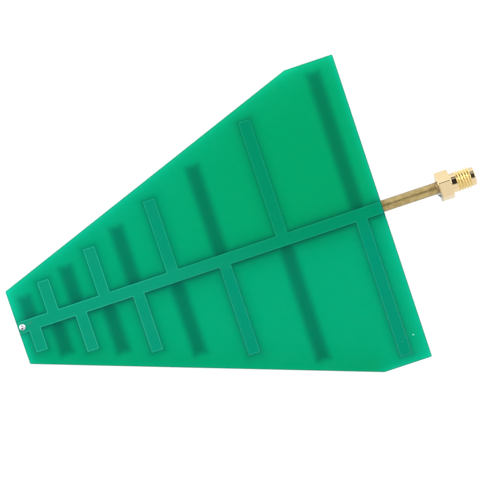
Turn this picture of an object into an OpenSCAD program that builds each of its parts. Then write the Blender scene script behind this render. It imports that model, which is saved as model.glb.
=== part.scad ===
// Printed log-periodic antenna: two interleaved copper combs on a tapered board,
// fed by a rigid coaxial cable that ends in a threaded coaxial jack.
// Lengths along the boom are measured from the narrow edge of the board.

/* [Arms and boom] */
// Place of each arm's centre line along the boom, shortest arm first
arm_station = [4.8, 11.7, 19.4, 27.9, 37.6, 49.5, 64.9, 83.9, 107.8]; // each [4:0.1:150]
// Reach of each arm from the boom's centre line, shortest arm first
arm_reach = [8.6, 11.4, 13.3, 16.3, 19.6, 24.1, 29.6, 37.4, 44.4]; // each [6:0.1:60]
// Width of an arm
arm_width = 3.6; // [2.4:0.1:5]
// Width of the boom strip on both faces
boom_width = 3.6; // [3:0.1:6]
// Thickness of the copper foil
copper = 0.07; // [0.035:0.005:0.14]

/* [Board] */
// Thickness of the glass-fibre core
core = 1.5; // [0.8:0.1:3.2]
// Board left beyond the end of the longest arm
side_margin = 3.1; // [1:0.1:10]
// Board left beside the shortest arm at the narrow edge
tip_margin = 2.9; // [1:0.1:10]
// Board left past the centre line of the last arm
end_margin = 7.2; // [4:0.1:20]
// Length of the straight sides at the wide edge
shoulder = 15; // [6:0.5:30]
// Radius of the board's routed corners
corner_r = 0.4; // [0.1:0.1:1.5]
// How far the printed pattern sits off the board's centre line, towards -Y if below zero
print_shift = -0.28; // [-0.6:0.02:0.6]
// Distance of the boom's ends from the board's edges
edge_gap = 0.3; // [0.1:0.05:0.4]
// Thickness of the green solder mask
mask = 0.03; // [0.015:0.005:0.05]
// Lap of the mask over the copper around the cable's solder strip
mask_lap = 0.3; // [0.1:0.05:0.6]

/* [Feed point] */
// Distance of the feed hole from the narrow edge
feed_inset = 1.4; // [1.3:0.05:1.6]
// Diameter of the feed hole
feed_hole_d = 1.1; // [1:0.02:1.2]
// Diameter of the bare copper and solder around the feed hole
feed_pad_d = 1.9; // [1.7:0.05:2]
// Height of the solder dome over the copper
dome_h = 0.5; // [0.45:0.05:0.8]
// Solder over the end of the centre wire, at the top of the dome
wire_cover = 0.3; // [0.25:0.05:0.4]
// Diameter of the blow hole in the solder dome
blow_hole_d = 0.36; // [0.2:0.02:0.4]

/* [Coaxial cable] */
// Outer diameter of the copper jacket
jacket_d = 3.58; // [3.3:0.02:3.9]
// Diameter of the white dielectric
dielectric_d = 2.98; // [2.4:0.02:3.1]
// Diameter of the centre wire
wire_d = 0.92; // [0.6:0.02:0.96]
// Bend radius of the centre wire at the feed point
wire_bend_r = 1.2; // [0.8:0.05:1.5]
// Dielectric left bare past the end of the jacket
bare_dielectric = 0.9; // [0.3:0.1:3]
// Free length of cable between the board and the jack
cable_out = 17.6; // [6:0.1:80]

/* [Solder] */
// Number of solder tacks along each side of the cable
tack_count = 5; // [2:1:9]
// Length of a solder tack
tack_length = 7; // [4:0.5:9]
// Width of the solder fillet where the cable enters the jack
fillet = 0.55; // [0.4:0.05:1]
// How far that solder has run to one side of the cable
solder_run = 0.3; // [0:0.05:0.35]

/* [Jack] */
// Width of the hexagon across its flats
hex_af = 8; // [7.4:0.1:10]
// Length of the hexagon
hex_length = 4; // [3.4:0.1:8]
// Turn of the hexagon's top corner from straight up
hex_turn = 17; // [-30:1:30]
// Depth of the chamfers on the hexagon's corners
hex_chamfer = 0.35; // [0.1:0.05:0.5]
// Diameter of the relief between the hexagon and the thread
neck_d = 5.9; // [5:0.05:5.9]
// Length of the relief
neck_length = 1.8; // [0.6:0.1:4]
// Outer diameter of the thread
thread_d = 6.35; // [6.35:0.05:6.6]
// Length of the thread
thread_length = 4.3; // [3.5:0.1:9]
// Diameter of the plain pilot at the mouth
pilot_d = 5.5; // [5.2:0.05:5.8]
// Length of the pilot
pilot_length = 1.4; // [0.5:0.1:2]
// Diameter of the open socket at the mouth
socket_d = 4.62; // [4.4:0.02:4.8]
// Depth of the socket down to the white insulator
socket_depth = 1.9; // [1.5:0.05:2.5]
// Diameter of the white insulator
insulator_d = 4.1; // [3.8:0.02:4.3]
// Depth of the cable inside the jack
cable_depth = 3; // [2:0.1:3.3]
// Outer diameter of the centre contact
contact_d = 1.27; // [1.2:0.01:1.6]
// Diameter of the contact's collar
collar_d = 1.9; // [1.7:0.05:2.6]
// Diameter of the contact's spring socket
contact_hole_d = 0.95; // [0.9:0.01:1]
// Depth of the contact's spring socket
contact_hole_depth = 2.8; // [2:0.1:3]
// Depth of the wire inside the contact
wire_depth = 2; // [1:0.1:2.4]

/* [Hidden] */
$fn = 64;

// Clearance on each side of round pieces that slide into each other
slip = 0.01;
// Solder film between the cable and the copper it lies on
seat = 0.02;
// Steps in each rounded corner of the board
corner_steps = 5;

arm_count = len(arm_station);
board_length = arm_station[arm_count - 1] + end_margin;
board_half = arm_reach[arm_count - 1] + side_margin;
tip_half = arm_reach[0] + tip_margin;
first_side = arm_station[0] - arm_width / 2;

jack_start = board_length + cable_out;
jack_length = hex_length + neck_length + thread_length + pilot_length;
overall_length = jack_start + jack_length;
mating_plane = jack_length - socket_depth;

// Heights, from the surface that the hexagon's lowest corner stands on
hex_r = hex_af / sqrt(3);
cable_r = jacket_d / 2;
axis_z = hex_r * cos(hex_turn);
pad_z = axis_z + cable_r + seat;
back_z = pad_z + copper;
front_z = back_z + core;

dielectric_start = feed_inset + wire_bend_r;
jacket_start = dielectric_start + bare_dielectric;
wire_top = front_z + copper + dome_h - wire_cover;
feed_pad_r = feed_pad_d / 2;
// Place of the blow hole on the dome
blow_hole_inset = 0.42;
blow_hole_turn = -107;

// Tacks run from the jacket's end to the wide edge, with this much cable left bare at both ends
tack_inset = 1.2;
tack_first = jacket_start + tack_inset + tack_length / 2;
tack_last = board_length - tack_inset - tack_length / 2;
// The solder's foot stays inside the mask opening, and it climbs to this angle on the cable
tack_foot = boom_width / 2 - mask_lap;
tack_climb = 62;
// The solder starts where the cable has risen clear of the copper
tack_root = 0.54;
// How far a tack's foot draws in at its ends
tack_draw = tack_foot - tack_root;
// Thickness at which the rear fillet's solder ends
fillet_land = 0.1;

// Contact collar that the insulator grips
collar_length = 0.8;
collar_inset = 1.4;
collar_start = cable_depth + collar_inset;
// The contact stops just behind the mating plane
contact_recess = 0.1;
contact_slot = 0.15;
contact_slot_depth = 2.3;
// Chamfers at the mouth of the jack and at both ends of the thread
mouth_chamfer = 0.2;
thread_chamfer = 0.2;

// Places a piece from its distance along the boom into the part's frame
module along_boom(x = 0, z = 0) {
    translate([x - overall_length / 2, print_shift, z]) children();
}

// Turns a shape that is built upwards so that it lies along the cable
module on_axis(x = 0) {
    along_boom(x, axis_z) rotate([0, 90, 0]) children();
}

function unit(v) = v / norm(v);

// Points of a corner at p between its neighbours a and b, rounded to radius r
function rounded_corner(a, p, b, r) =
    let (
        to_a = unit(a - p),
        to_b = unit(b - p),
        half = acos(to_a * to_b) / 2,
        centre = p + unit(to_a + to_b) * r / sin(half),
        first = p + to_a * r / tan(half) - centre,
        sweep = 180 - 2 * half,
        start = atan2(first[1], first[0])
    )
    [for (k = [0:corner_steps])
        centre + r * [cos(start + sweep * k / corner_steps), sin(start + sweep * k / corner_steps)]];

// Outline of the board, anticlockwise from the lower narrow corner
module board_outline() {
    corners = [
        [0, -tip_half], [board_length - shoulder, -board_half], [board_length, -board_half],
        [board_length, board_half], [board_length - shoulder, board_half], [0, tip_half]
    ];
    count = len(corners);
    translate([0, -print_shift])
        polygon([
            for (i = [0:count - 1])
                let (before = corners[(i + count - 1) % count], after = corners[(i + 1) % count])
                    each rounded_corner(before, corners[i], after, corner_r)
        ]);
}

// One comb of the antenna: the boom and its arms, which leave it on alternate sides.
// side is -1 where the shortest arm points to -Y and 1 where it points to +Y.
module comb(side, boom_start, grow = 0) {
    boom_end = board_length - edge_gap;
    translate([boom_start - grow, -boom_width / 2 - grow])
        square([boom_end - boom_start + 2 * grow, boom_width + 2 * grow]);
    for (i = [0:arm_count - 1]) {
        arm_side = i % 2 == 0 ? side : -side;
        arm_foot = arm_side < 0 ? -arm_reach[i] - grow : 0;
        translate([arm_station[i] - arm_width / 2 - grow, arm_foot])
            square([arm_width + 2 * grow, arm_reach[i] + grow]);
    }
}

module front_comb(grow = 0) comb(-1, edge_gap, grow);
module back_comb(grow = 0) comb(1, first_side, grow);

module feed_hole() translate([feed_inset, 0]) circle(d = feed_hole_d);

// Bare strip that the cable is soldered to. It runs out over the wide edge, where the cable leaves
module solder_strip() {
    strip_start = first_side + mask_lap;
    strip_end = board_length + mask_lap;
    translate([strip_start, -boom_width / 2 + mask_lap])
        square([strip_end - strip_start, boom_width - 2 * mask_lap]);
}

// Glass-fibre core, drilled for the centre wire
module substrate() {
    color([0.62, 0.74, 0.42])
        along_boom(0, back_z)
            linear_extrude(core)
                difference() {
                    board_outline();
                    feed_hole();
                }
}

// Etched comb on the front face, joined to the centre wire
module front_copper() {
    color([0.72, 0.45, 0.2])
        along_boom(0, front_z)
            linear_extrude(copper)
                difference() {
                    front_comb();
                    feed_hole();
                }
}

// Etched comb on the back face, joined to the jacket. It stops short of the feed hole
module back_copper() {
    color([0.72, 0.45, 0.2])
        along_boom(0, pad_z)
            linear_extrude(copper)
                back_comb();
}

// Mask film with raised ridges where it runs over the comb, as it lies on an upward face
module front_solder_mask() {
    color([0, 0.66, 0.44, 0.6])
        along_boom(0, front_z)
            difference() {
                union() {
                    linear_extrude(mask) board_outline();
                    linear_extrude(copper + mask) front_comb(mask);
                }
                linear_extrude(copper) front_comb();
                translate([feed_inset, 0, -core]) cylinder(d = feed_pad_d, h = 2 * core);
            }
}

// The same film on the back face, open along the strip that the cable is soldered to
module back_solder_mask() {
    color([0, 0.66, 0.44, 0.6])
        along_boom(0, back_z)
            mirror([0, 0, 1])
                difference() {
                    union() {
                        linear_extrude(mask) difference() {
                            board_outline();
                            feed_hole();
                        }
                        linear_extrude(copper + mask) back_comb(mask);
                    }
                    linear_extrude(copper) back_comb();
                    translate([0, 0, -core]) linear_extrude(2 * core) solder_strip();
                }
}

// Dome of solder over the wire's end, with a small blow hole in its side
module feed_solder() {
    dome_foot = feed_pad_r - slip;
    dome_r = (dome_foot ^ 2 + dome_h ^ 2) / (2 * dome_h);
    dome_centre = dome_h - dome_r;
    wire_reach = dome_h - wire_cover + slip;
    color([0.8, 0.81, 0.83])
        along_boom(feed_inset, front_z + copper)
            difference() {
                intersection() {
                    translate([0, 0, dome_centre]) sphere(dome_r);
                    cylinder(r = feed_pad_r, h = dome_h);
                }
                cylinder(d = wire_d + 2 * slip, h = 2 * wire_reach, center = true);
                rotate(blow_hole_turn)
                    translate([blow_hole_inset, 0, dome_centre + sqrt(dome_r ^ 2 - blow_hole_inset ^ 2)])
                        sphere(d = blow_hole_d);
            }
}

// Rigid copper jacket from the feed end into the jack
module cable_jacket() {
    color([0.74, 0.64, 0.38])
        on_axis(jacket_start)
            linear_extrude(jack_start + cable_depth - jacket_start)
                difference() {
                    circle(d = jacket_d);
                    circle(d = dielectric_d + 2 * slip);
                }
}

// White dielectric, which stands out of the jacket at the feed end
module cable_dielectric() {
    color([0.95, 0.95, 0.93])
        on_axis(dielectric_start)
            linear_extrude(jack_start + cable_depth - dielectric_start)
                difference() {
                    circle(d = dielectric_d);
                    circle(d = wire_d + 2 * slip);
                }
}

// Centre wire, bent up through the feed hole and soldered on the front
module centre_wire() {
    color([0.8, 0.78, 0.72]) {
        on_axis(dielectric_start)
            cylinder(d = wire_d, h = jack_start + cable_depth + wire_depth - dielectric_start);
        along_boom(dielectric_start, axis_z + wire_bend_r)
            rotate([90, 0, 0])
                rotate([0, 0, 180])
                    rotate_extrude(angle = 90)
                        translate([wire_bend_r, 0]) circle(d = wire_d);
        along_boom(feed_inset, axis_z + wire_bend_r)
            cylinder(d = wire_d, h = wire_top - axis_z - wire_bend_r);
    }
}

// Solder in the groove between the cable and the copper, seen across the cable
module tack_section() {
    solder_r = cable_r + slip;
    difference() {
        polygon([
            [tack_root, solder_r * cos(tack_climb)],
            [solder_r * sin(tack_climb), solder_r * cos(tack_climb)],
            [tack_foot, cable_r + seat],
            [tack_root, cable_r + seat]
        ]);
        circle(r = solder_r);
    }
}

// One tack: its foot follows an arc, so that it runs out at both ends
module tack() {
    lens_r = ((tack_length / 2) ^ 2 + tack_draw ^ 2) / (2 * tack_draw);
    intersection() {
        translate([-tack_length / 2, 0, 0])
            rotate([90, 0, 90]) linear_extrude(tack_length) tack_section();
        translate([0, tack_foot - lens_r, 0]) cylinder(r = lens_r, h = 2 * cable_r);
    }
}

// Rows of tacks along both sides of the cable
module cable_solder_tacks() {
    color([0.8, 0.81, 0.83])
        for (k = [0:tack_count - 1], side = [0, 1])
            along_boom(tack_first + (tack_last - tack_first) * k / (tack_count - 1), axis_z)
                mirror([0, side, 0]) tack();
}

// Hollow ring of solder where the cable enters the jack, fuller on the side that it ran to
module rear_solder_fillet() {
    hollow_place = [cable_r + fillet + fillet_land, -fillet - fillet_land];
    color([0.7, 0.72, 0.76])
        on_axis(jack_start)
            difference() {
                translate([0, -solder_run, 0])
                    rotate_extrude()
                        difference() {
                            translate([0, -fillet]) square([cable_r + fillet, fillet]);
                            translate(hollow_place) circle(fillet);
                        }
                cylinder(r = cable_r + slip, h = 3 * fillet, center = true);
            }
}

// Hexagon with its corners turned down at both ends
module hexagon() {
    reach = hex_r - hex_chamfer;
    intersection() {
        rotate(180 - hex_turn) cylinder(r = hex_r, h = hex_length, $fn = 6);
        rotate_extrude()
            polygon([
                [0, 0], [reach, 0], [hex_r, hex_chamfer],
                [hex_r, hex_length - hex_chamfer], [reach, hex_length], [0, hex_length]
            ]);
    }
}

// Turned body of the jack: hexagon, relief, thread and pilot
module jack_body() {
    thread_start = hex_length + neck_length;
    pilot_start = thread_start + thread_length;
    thread_r = thread_d / 2;
    pilot_r = pilot_d / 2;
    color([0.93, 0.79, 0.47])
        on_axis(jack_start)
            difference() {
                union() {
                    hexagon();
                    rotate_extrude()
                        polygon([
                            [0, 0], [neck_d / 2, 0], [neck_d / 2, thread_start],
                            [thread_r - thread_chamfer, thread_start],
                            [thread_r, thread_start + thread_chamfer],
                            [thread_r, pilot_start - thread_chamfer],
                            [thread_r - thread_chamfer, pilot_start],
                            [pilot_r, pilot_start], [pilot_r, jack_length - mouth_chamfer],
                            [pilot_r - mouth_chamfer, jack_length], [0, jack_length]
                        ]);
                }
                cylinder(d = jacket_d + 2 * slip, h = 2 * cable_depth, center = true);
                translate([0, 0, cable_depth])
                    cylinder(d = insulator_d + 2 * slip, h = mating_plane - cable_depth);
                translate([0, 0, mating_plane])
                    cylinder(d = socket_d, h = jack_length);
            }
}

// White insulator that carries the contact and grips its collar
module jack_insulator() {
    color([0.96, 0.96, 0.94])
        on_axis(jack_start)
            difference() {
                translate([0, 0, cable_depth]) cylinder(d = insulator_d, h = mating_plane - cable_depth);
                cylinder(d = contact_d + 2 * slip, h = jack_length);
                translate([0, 0, collar_start - slip])
                    cylinder(d = collar_d + 2 * slip, h = collar_length + 2 * slip);
            }
}

// Contact: a cup for the cable's wire at the rear and a slotted spring socket at the front
module jack_contact() {
    front = mating_plane - contact_recess;
    color([0.95, 0.8, 0.45])
        on_axis(jack_start)
            difference() {
                union() {
                    translate([0, 0, cable_depth]) cylinder(d = contact_d, h = front - cable_depth);
                    translate([0, 0, collar_start]) cylinder(d = collar_d, h = collar_length);
                }
                cylinder(d = wire_d + 2 * slip, h = cable_depth + wire_depth);
                translate([0, 0, front - contact_hole_depth]) cylinder(d = contact_hole_d, h = jack_length);
                for (turn = [0, 90])
                    rotate(turn)
                        translate([-contact_d, -contact_slot / 2, front - contact_slot_depth])
                            cube([2 * contact_d, contact_slot, jack_length]);
            }
}

substrate();
front_copper();
back_copper();
front_solder_mask();
back_solder_mask();
feed_solder();
cable_jacket();
cable_dielectric();
centre_wire();
cable_solder_tacks();
rear_solder_fillet();
jack_body();
jack_insulator();
jack_contact();
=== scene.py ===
"""Dresses the printed log-periodic antenna: mask films, solder, cable and jack, on a white studio floor."""

import logging
import math
from dataclasses import dataclass
from enum import Enum
from typing import Callable, ClassVar, Iterable, Sequence, Union

import bmesh
import bpy
from mathutils import Euler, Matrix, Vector, noise
from mathutils.geometry import convex_hull_2d, tessellate_polygon


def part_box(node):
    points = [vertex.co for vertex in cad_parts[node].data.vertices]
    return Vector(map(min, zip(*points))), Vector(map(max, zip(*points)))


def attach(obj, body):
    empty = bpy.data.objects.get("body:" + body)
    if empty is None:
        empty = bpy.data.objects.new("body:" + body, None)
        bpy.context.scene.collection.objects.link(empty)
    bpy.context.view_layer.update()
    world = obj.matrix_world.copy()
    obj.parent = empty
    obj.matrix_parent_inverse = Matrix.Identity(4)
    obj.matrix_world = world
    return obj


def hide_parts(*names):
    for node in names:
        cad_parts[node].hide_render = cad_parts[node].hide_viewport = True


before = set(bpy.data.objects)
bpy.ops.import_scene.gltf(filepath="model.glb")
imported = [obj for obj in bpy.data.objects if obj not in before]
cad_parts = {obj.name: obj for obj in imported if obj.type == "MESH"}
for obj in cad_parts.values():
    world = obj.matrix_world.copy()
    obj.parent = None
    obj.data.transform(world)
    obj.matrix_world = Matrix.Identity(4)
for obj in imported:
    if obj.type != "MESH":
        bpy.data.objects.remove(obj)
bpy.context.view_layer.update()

ROOT = "root"
LOG = logging.getLogger("antenna")

MM = 0.001
# Points closer than this are one, in metres, and corners are told apart by so many digits
TINY = 1e-6
DIGITS = 6
# A distance in millimetres that is larger than the board
FAR_OFF = 1e3
# How far each unit of a seed moves an unevenness through the noise
SEED_STEP = (1.0, 0.7, 1.3)
ORIGIN = (0.0, 0.0, 0.0)
# A vector times this lies flat in the plane of the board
LAID_FLAT = (1.0, 1.0, 0.0)

Socket = bpy.types.NodeSocket
Value = Union[float, Sequence[float], Socket]
Colour = tuple[float, float, float]
Place = tuple[float, float, float]
Flat = tuple[float, float]
Span = tuple[float, float]
Row = Callable[[float], Flat]


class Slot(Enum):
    """Material slots of the record, passed along with each new piece."""

    SOLDER_MASK = "solder_mask"
    SOLDER = "solder"
    JACK_PLATING = "jack_plating"


class Face(Enum):
    """Face of the board, as the sign of its outward direction."""

    FRONT = 1
    BACK = -1


class SocketKind(Enum):
    """Kinds of socket that a shader effect has."""

    NUMBER = "NodeSocketFloat"
    COLOUR = "NodeSocketColor"
    VECTOR = "NodeSocketVector"


@dataclass(frozen=True)
class Patches:
    """Soft patches: their size, the span of the noise they rise over, what they give, and their detail."""

    size: float
    span: Span = (0.3, 0.7)
    gives: Span = (0.0, 1.0)
    detail: float = 3.0


class Graph:
    """Places nodes in a shader tree and links them, so that a finish reads as a formula."""

    # Sockets of Blender's mix node for colours: factor, first and second colour, and its result
    mix_inputs: ClassVar[tuple[int, int, int]] = (0, 6, 7)
    mix_result: ClassVar[int] = 2

    def __init__(self, tree: bpy.types.NodeTree) -> None:
        """Keeps the tree that the nodes go into."""
        self.tree = tree

    def node(self, kind: str, **settings: object) -> bpy.types.Node:
        """Adds one node.

        Args:
            kind: Blender's name for the node, without the ShaderNode prefix.
            settings: Properties to set on it.

        Returns:
            The new node.
        """
        made = self.tree.nodes.new("ShaderNode" + kind)
        for key, value in settings.items():
            setattr(made, key, value)
        return made

    def plug(self, value: Value, target: Socket) -> None:
        """Links a socket to the target, or sets a plain value on it.

        Args:
            value: The socket, number, vector or colour.
            target: Input socket that it goes to.
        """
        if isinstance(value, bpy.types.NodeSocket):
            self.tree.links.new(value, target)
        elif target.type == "RGBA" and len(value) == 3:
            target.default_value = (*value, 1.0)
        else:
            target.default_value = value

    def math(self, operation: str, *values: Value) -> Socket:
        """Adds a math node.

        Args:
            operation: Name of the operation.
            values: Its operands.

        Returns:
            The result.
        """
        made = self.node("Math", operation=operation)
        for value, target in zip(values, made.inputs):
            self.plug(value, target)
        return made.outputs[0]

    def vector(self, operation: str, *values: Value) -> Socket:
        """Adds a vector math node.

        Args:
            operation: Name of the operation.
            values: Its operands; for SCALE the second one is the factor.

        Returns:
            The result, a number for lengths and products and a vector otherwise.
        """
        made = self.node("VectorMath", operation=operation)
        if operation == "SCALE":
            self.plug(values[0], made.inputs[0])
            self.plug(values[1], made.inputs["Scale"])
        else:
            for value, target in zip(values, made.inputs):
                self.plug(value, target)
        number = operation in {"DOT_PRODUCT", "LENGTH", "DISTANCE"}
        return made.outputs["Value" if number else "Vector"]

    def ramp(self, value: Value, start: float, end: float, low: Value = 0.0, high: Value = 1.0) -> Socket:
        """Runs smoothly from low to high as the value goes from start to end.

        Args:
            value: What drives the ramp.
            start: Where it starts.
            end: Where it ends, which may lie below start.
            low: Result at the start.
            high: Result at the end.

        Returns:
            The result.
        """
        made = self.node("MapRange", interpolation_type="SMOOTHSTEP")
        if end < start:
            start, end, low, high = end, start, high, low
        for given, target in zip((value, start, end, low, high), made.inputs):
            self.plug(given, target)
        return made.outputs[0]

    def fade(self, distance: Value, reach: float) -> Socket:
        """Falls from 1 at no distance towards 0, by a factor of e for each reach."""
        return self.math("EXPONENT", self.math("DIVIDE", distance, -reach))

    def turn(self, across: Value, up: Value) -> Socket:
        """Angle in degrees, from straight up towards the side that across points to."""
        return self.math("DEGREES", self.math("ARCTAN2", across, up))

    def mix(self, factor: Value, first: Value, second: Value, blend: str = "MIX") -> Socket:
        """Mixes two colours.

        Args:
            factor: Share of the second one.
            first: First colour.
            second: Second colour.
            blend: Name of the blending mode.

        Returns:
            The mixed colour.
        """
        made = self.node("Mix", data_type="RGBA", blend_type=blend)
        for given, index in zip((factor, first, second), self.mix_inputs):
            self.plug(given, made.inputs[index])
        return made.outputs[self.mix_result]

    def noise(self, point: Value, size: float, detail: float = 3.0) -> Socket:
        """Adds a noise.

        Args:
            point: Place that it is read at.
            size: Size of its lumps, in the unit of the place.
            detail: How many finer layers it has.

        Returns:
            The noise, mostly between 0.2 and 0.8.
        """
        made = self.node("TexNoise")
        for name, given in (("Vector", point), ("Scale", 1.0 / size), ("Detail", detail)):
            self.plug(given, made.inputs[name])
        return made.outputs[0]

    def patches(self, point: Value, patches: Patches) -> Socket:
        """Turns a noise into soft patches."""
        return self.ramp(self.noise(point, patches.size, patches.detail), *patches.span, *patches.gives)

    def parts(self, point: Value) -> tuple[Socket, Socket, Socket]:
        """Splits a vector.

        Args:
            point: The vector.

        Returns:
            Its three numbers.
        """
        made = self.node("SeparateXYZ")
        self.plug(point, made.inputs[0])
        return tuple(made.outputs)

    def join(self, x: Value, y: Value, z: Value) -> Socket:
        """Joins three numbers into a vector.

        Args:
            x: First number.
            y: Second number.
            z: Third number.

        Returns:
            The vector.
        """
        made = self.node("CombineXYZ")
        for given, target in zip((x, y, z), made.inputs):
            self.plug(given, target)
        return made.outputs[0]

    def effect(self, effect: "Effect", **inputs: Value) -> dict[str, Socket]:
        """Places an effect's group.

        Args:
            effect: The effect.
            inputs: Values for its inputs, with _ for the spaces in their names.

        Returns:
            Its outputs by name.
        """
        made = self.node("Group", node_tree=effect.tree())
        for key, given in inputs.items():
            self.plug(given, made.inputs[key.replace("_", " ")])
        return {socket.name: socket for socket in made.outputs}


class Effect:
    """A shader node group with named inputs and outputs, built once and placed where it is needed."""

    trees: ClassVar[dict[str, bpy.types.NodeTree]] = {}
    name: str = ""
    inputs: ClassVar[dict[str, tuple[SocketKind, Value]]] = {}
    outputs: ClassVar[dict[str, SocketKind]] = {}

    def formula(self, graph: Graph, given: dict[str, Socket]) -> dict[str, Value]:
        """Builds what is inside the group; each effect has its own."""
        raise NotImplementedError

    def tree(self) -> bpy.types.NodeTree:
        """Builds the group on first use.

        Returns:
            The group's node tree.
        """
        if self.name not in Effect.trees:
            tree = bpy.data.node_groups.new(self.name, "ShaderNodeTree")
            for name, (kind, value) in self.inputs.items():
                socket = tree.interface.new_socket(name=name, in_out="INPUT", socket_type=kind.value)
                socket.default_value = (*value, 1.0) if kind is SocketKind.COLOUR else value
            for name, kind in self.outputs.items():
                tree.interface.new_socket(name=name, in_out="OUTPUT", socket_type=kind.value)
            graph = Graph(tree)
            entry = tree.nodes.new("NodeGroupInput")
            leave = tree.nodes.new("NodeGroupOutput")
            given = {socket.name: socket for socket in entry.outputs if socket.name}
            for name, value in self.formula(graph, given).items():
                graph.plug(value, leave.inputs[name])
            Effect.trees[self.name] = tree
        return Effect.trees[self.name]


POINT_INPUT = {"Point": (SocketKind.VECTOR, ORIGIN)}


@dataclass(frozen=True)
class Rect:
    """An upright rectangle in the plane of the board, in metres."""

    x0: float
    x1: float
    y0: float
    y1: float

    def centre(self) -> Place:
        """Centre in millimetres."""
        return ((self.x0 + self.x1) / 2 / MM, (self.y0 + self.y1) / 2 / MM, 0.0)

    def half(self) -> Place:
        """Half of each side in millimetres."""
        return ((self.x1 - self.x0) / 2 / MM, (self.y1 - self.y0) / 2 / MM, 0.0)


@dataclass(frozen=True)
class Comb:
    """One etched comb: its boom and the arms that leave it on alternate sides."""

    boom: Rect
    arms: tuple[Rect, ...]

    @classmethod
    def from_node(cls, node: str) -> "Comb":
        """Reads the boom and the arms back from a foil's solid.

        Args:
            node: Name of the foil's node.

        Returns:
            The comb in the part's frame.
        """
        low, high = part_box(node)
        points = [v.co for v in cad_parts[node].data.vertices]
        end = [p.y for p in points if high.x - p.x < TINY]
        boom = Rect(low.x, high.x, min(end), max(end))
        axis = (boom.y0 + boom.y1) / 2
        reach = boom.y1 - axis + TINY
        ends = sorted({(round(p.x, DIGITS), round(p.y, DIGITS)) for p in points if abs(p.y - axis) > reach})
        arms = tuple(
            Rect(left[0], right[0], min(axis, left[1]), max(axis, left[1]))
            for left, right in zip(ends[::2], ends[1::2])
        )
        return cls(boom, arms)

    def outline(self, grow: float = 0.0) -> list[Flat]:
        """Traces the comb's edge anticlockwise from the lower end of the boom.

        Args:
            grow: How far outside the foil the outline runs.

        Returns:
            Its corners.
        """
        boom = self.boom
        lower = [a for a in self.arms if a.y0 < boom.y0]
        upper = [a for a in reversed(self.arms) if a.y1 > boom.y1]
        raw = [(boom.x0, boom.y0)]
        for arm in lower:
            raw += [(arm.x0, boom.y0), (arm.x0, arm.y0), (arm.x1, arm.y0), (arm.x1, boom.y0)]
        raw += [(boom.x1, boom.y0), (boom.x1, boom.y1)]
        for arm in upper:
            raw += [(arm.x1, boom.y1), (arm.x1, arm.y1), (arm.x0, arm.y1), (arm.x0, boom.y1)]
        raw.append((boom.x0, boom.y1))
        return grown_outline(raw, grow)


def grown_outline(raw: Sequence[Flat], grow: float) -> list[Flat]:
    """Drops needless points from an outline with square corners and moves its sides outwards.

    Args:
        raw: Points of the outline, anticlockwise.
        grow: How far each side moves.

    Returns:
        The new corners.
    """
    apart = [p for p, q in zip(raw, raw[-1:] + raw[:-1]) if math.dist(p, q) > TINY]
    made = []
    for before, here, after in zip(apart[-1:] + apart[:-1], apart, apart[1:] + apart[:1]):
        came = Vector(here) - Vector(before)
        goes = Vector(after) - Vector(here)
        if abs(came.cross(goes)) < TINY * TINY:
            continue
        came.normalize()
        goes.normalize()
        made.append((here[0] + grow * (came.y + goes.y), here[1] - grow * (came.x + goes.x)))
    return made


def circle(centre: Flat, radius: float, steps: int) -> list[Flat]:
    """Points of a circle, anticlockwise."""
    turns = [2 * math.pi * k / steps for k in range(steps)]
    return [(centre[0] + radius * math.cos(t), centre[1] + radius * math.sin(t)) for t in turns]


def smooth_step(t: float) -> float:
    """Runs from 0 to 1 with level ends."""
    return t * t * (3 - 2 * t)


def rough(place: Sequence[float], size: float, seed: float) -> float:
    """Gives a fixed unevenness between about -1 and 1 for a place, with lumps of this size."""
    shift = Vector([seed * step for step in SEED_STEP])
    return noise.noise(Vector(place) / size + shift)


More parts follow.
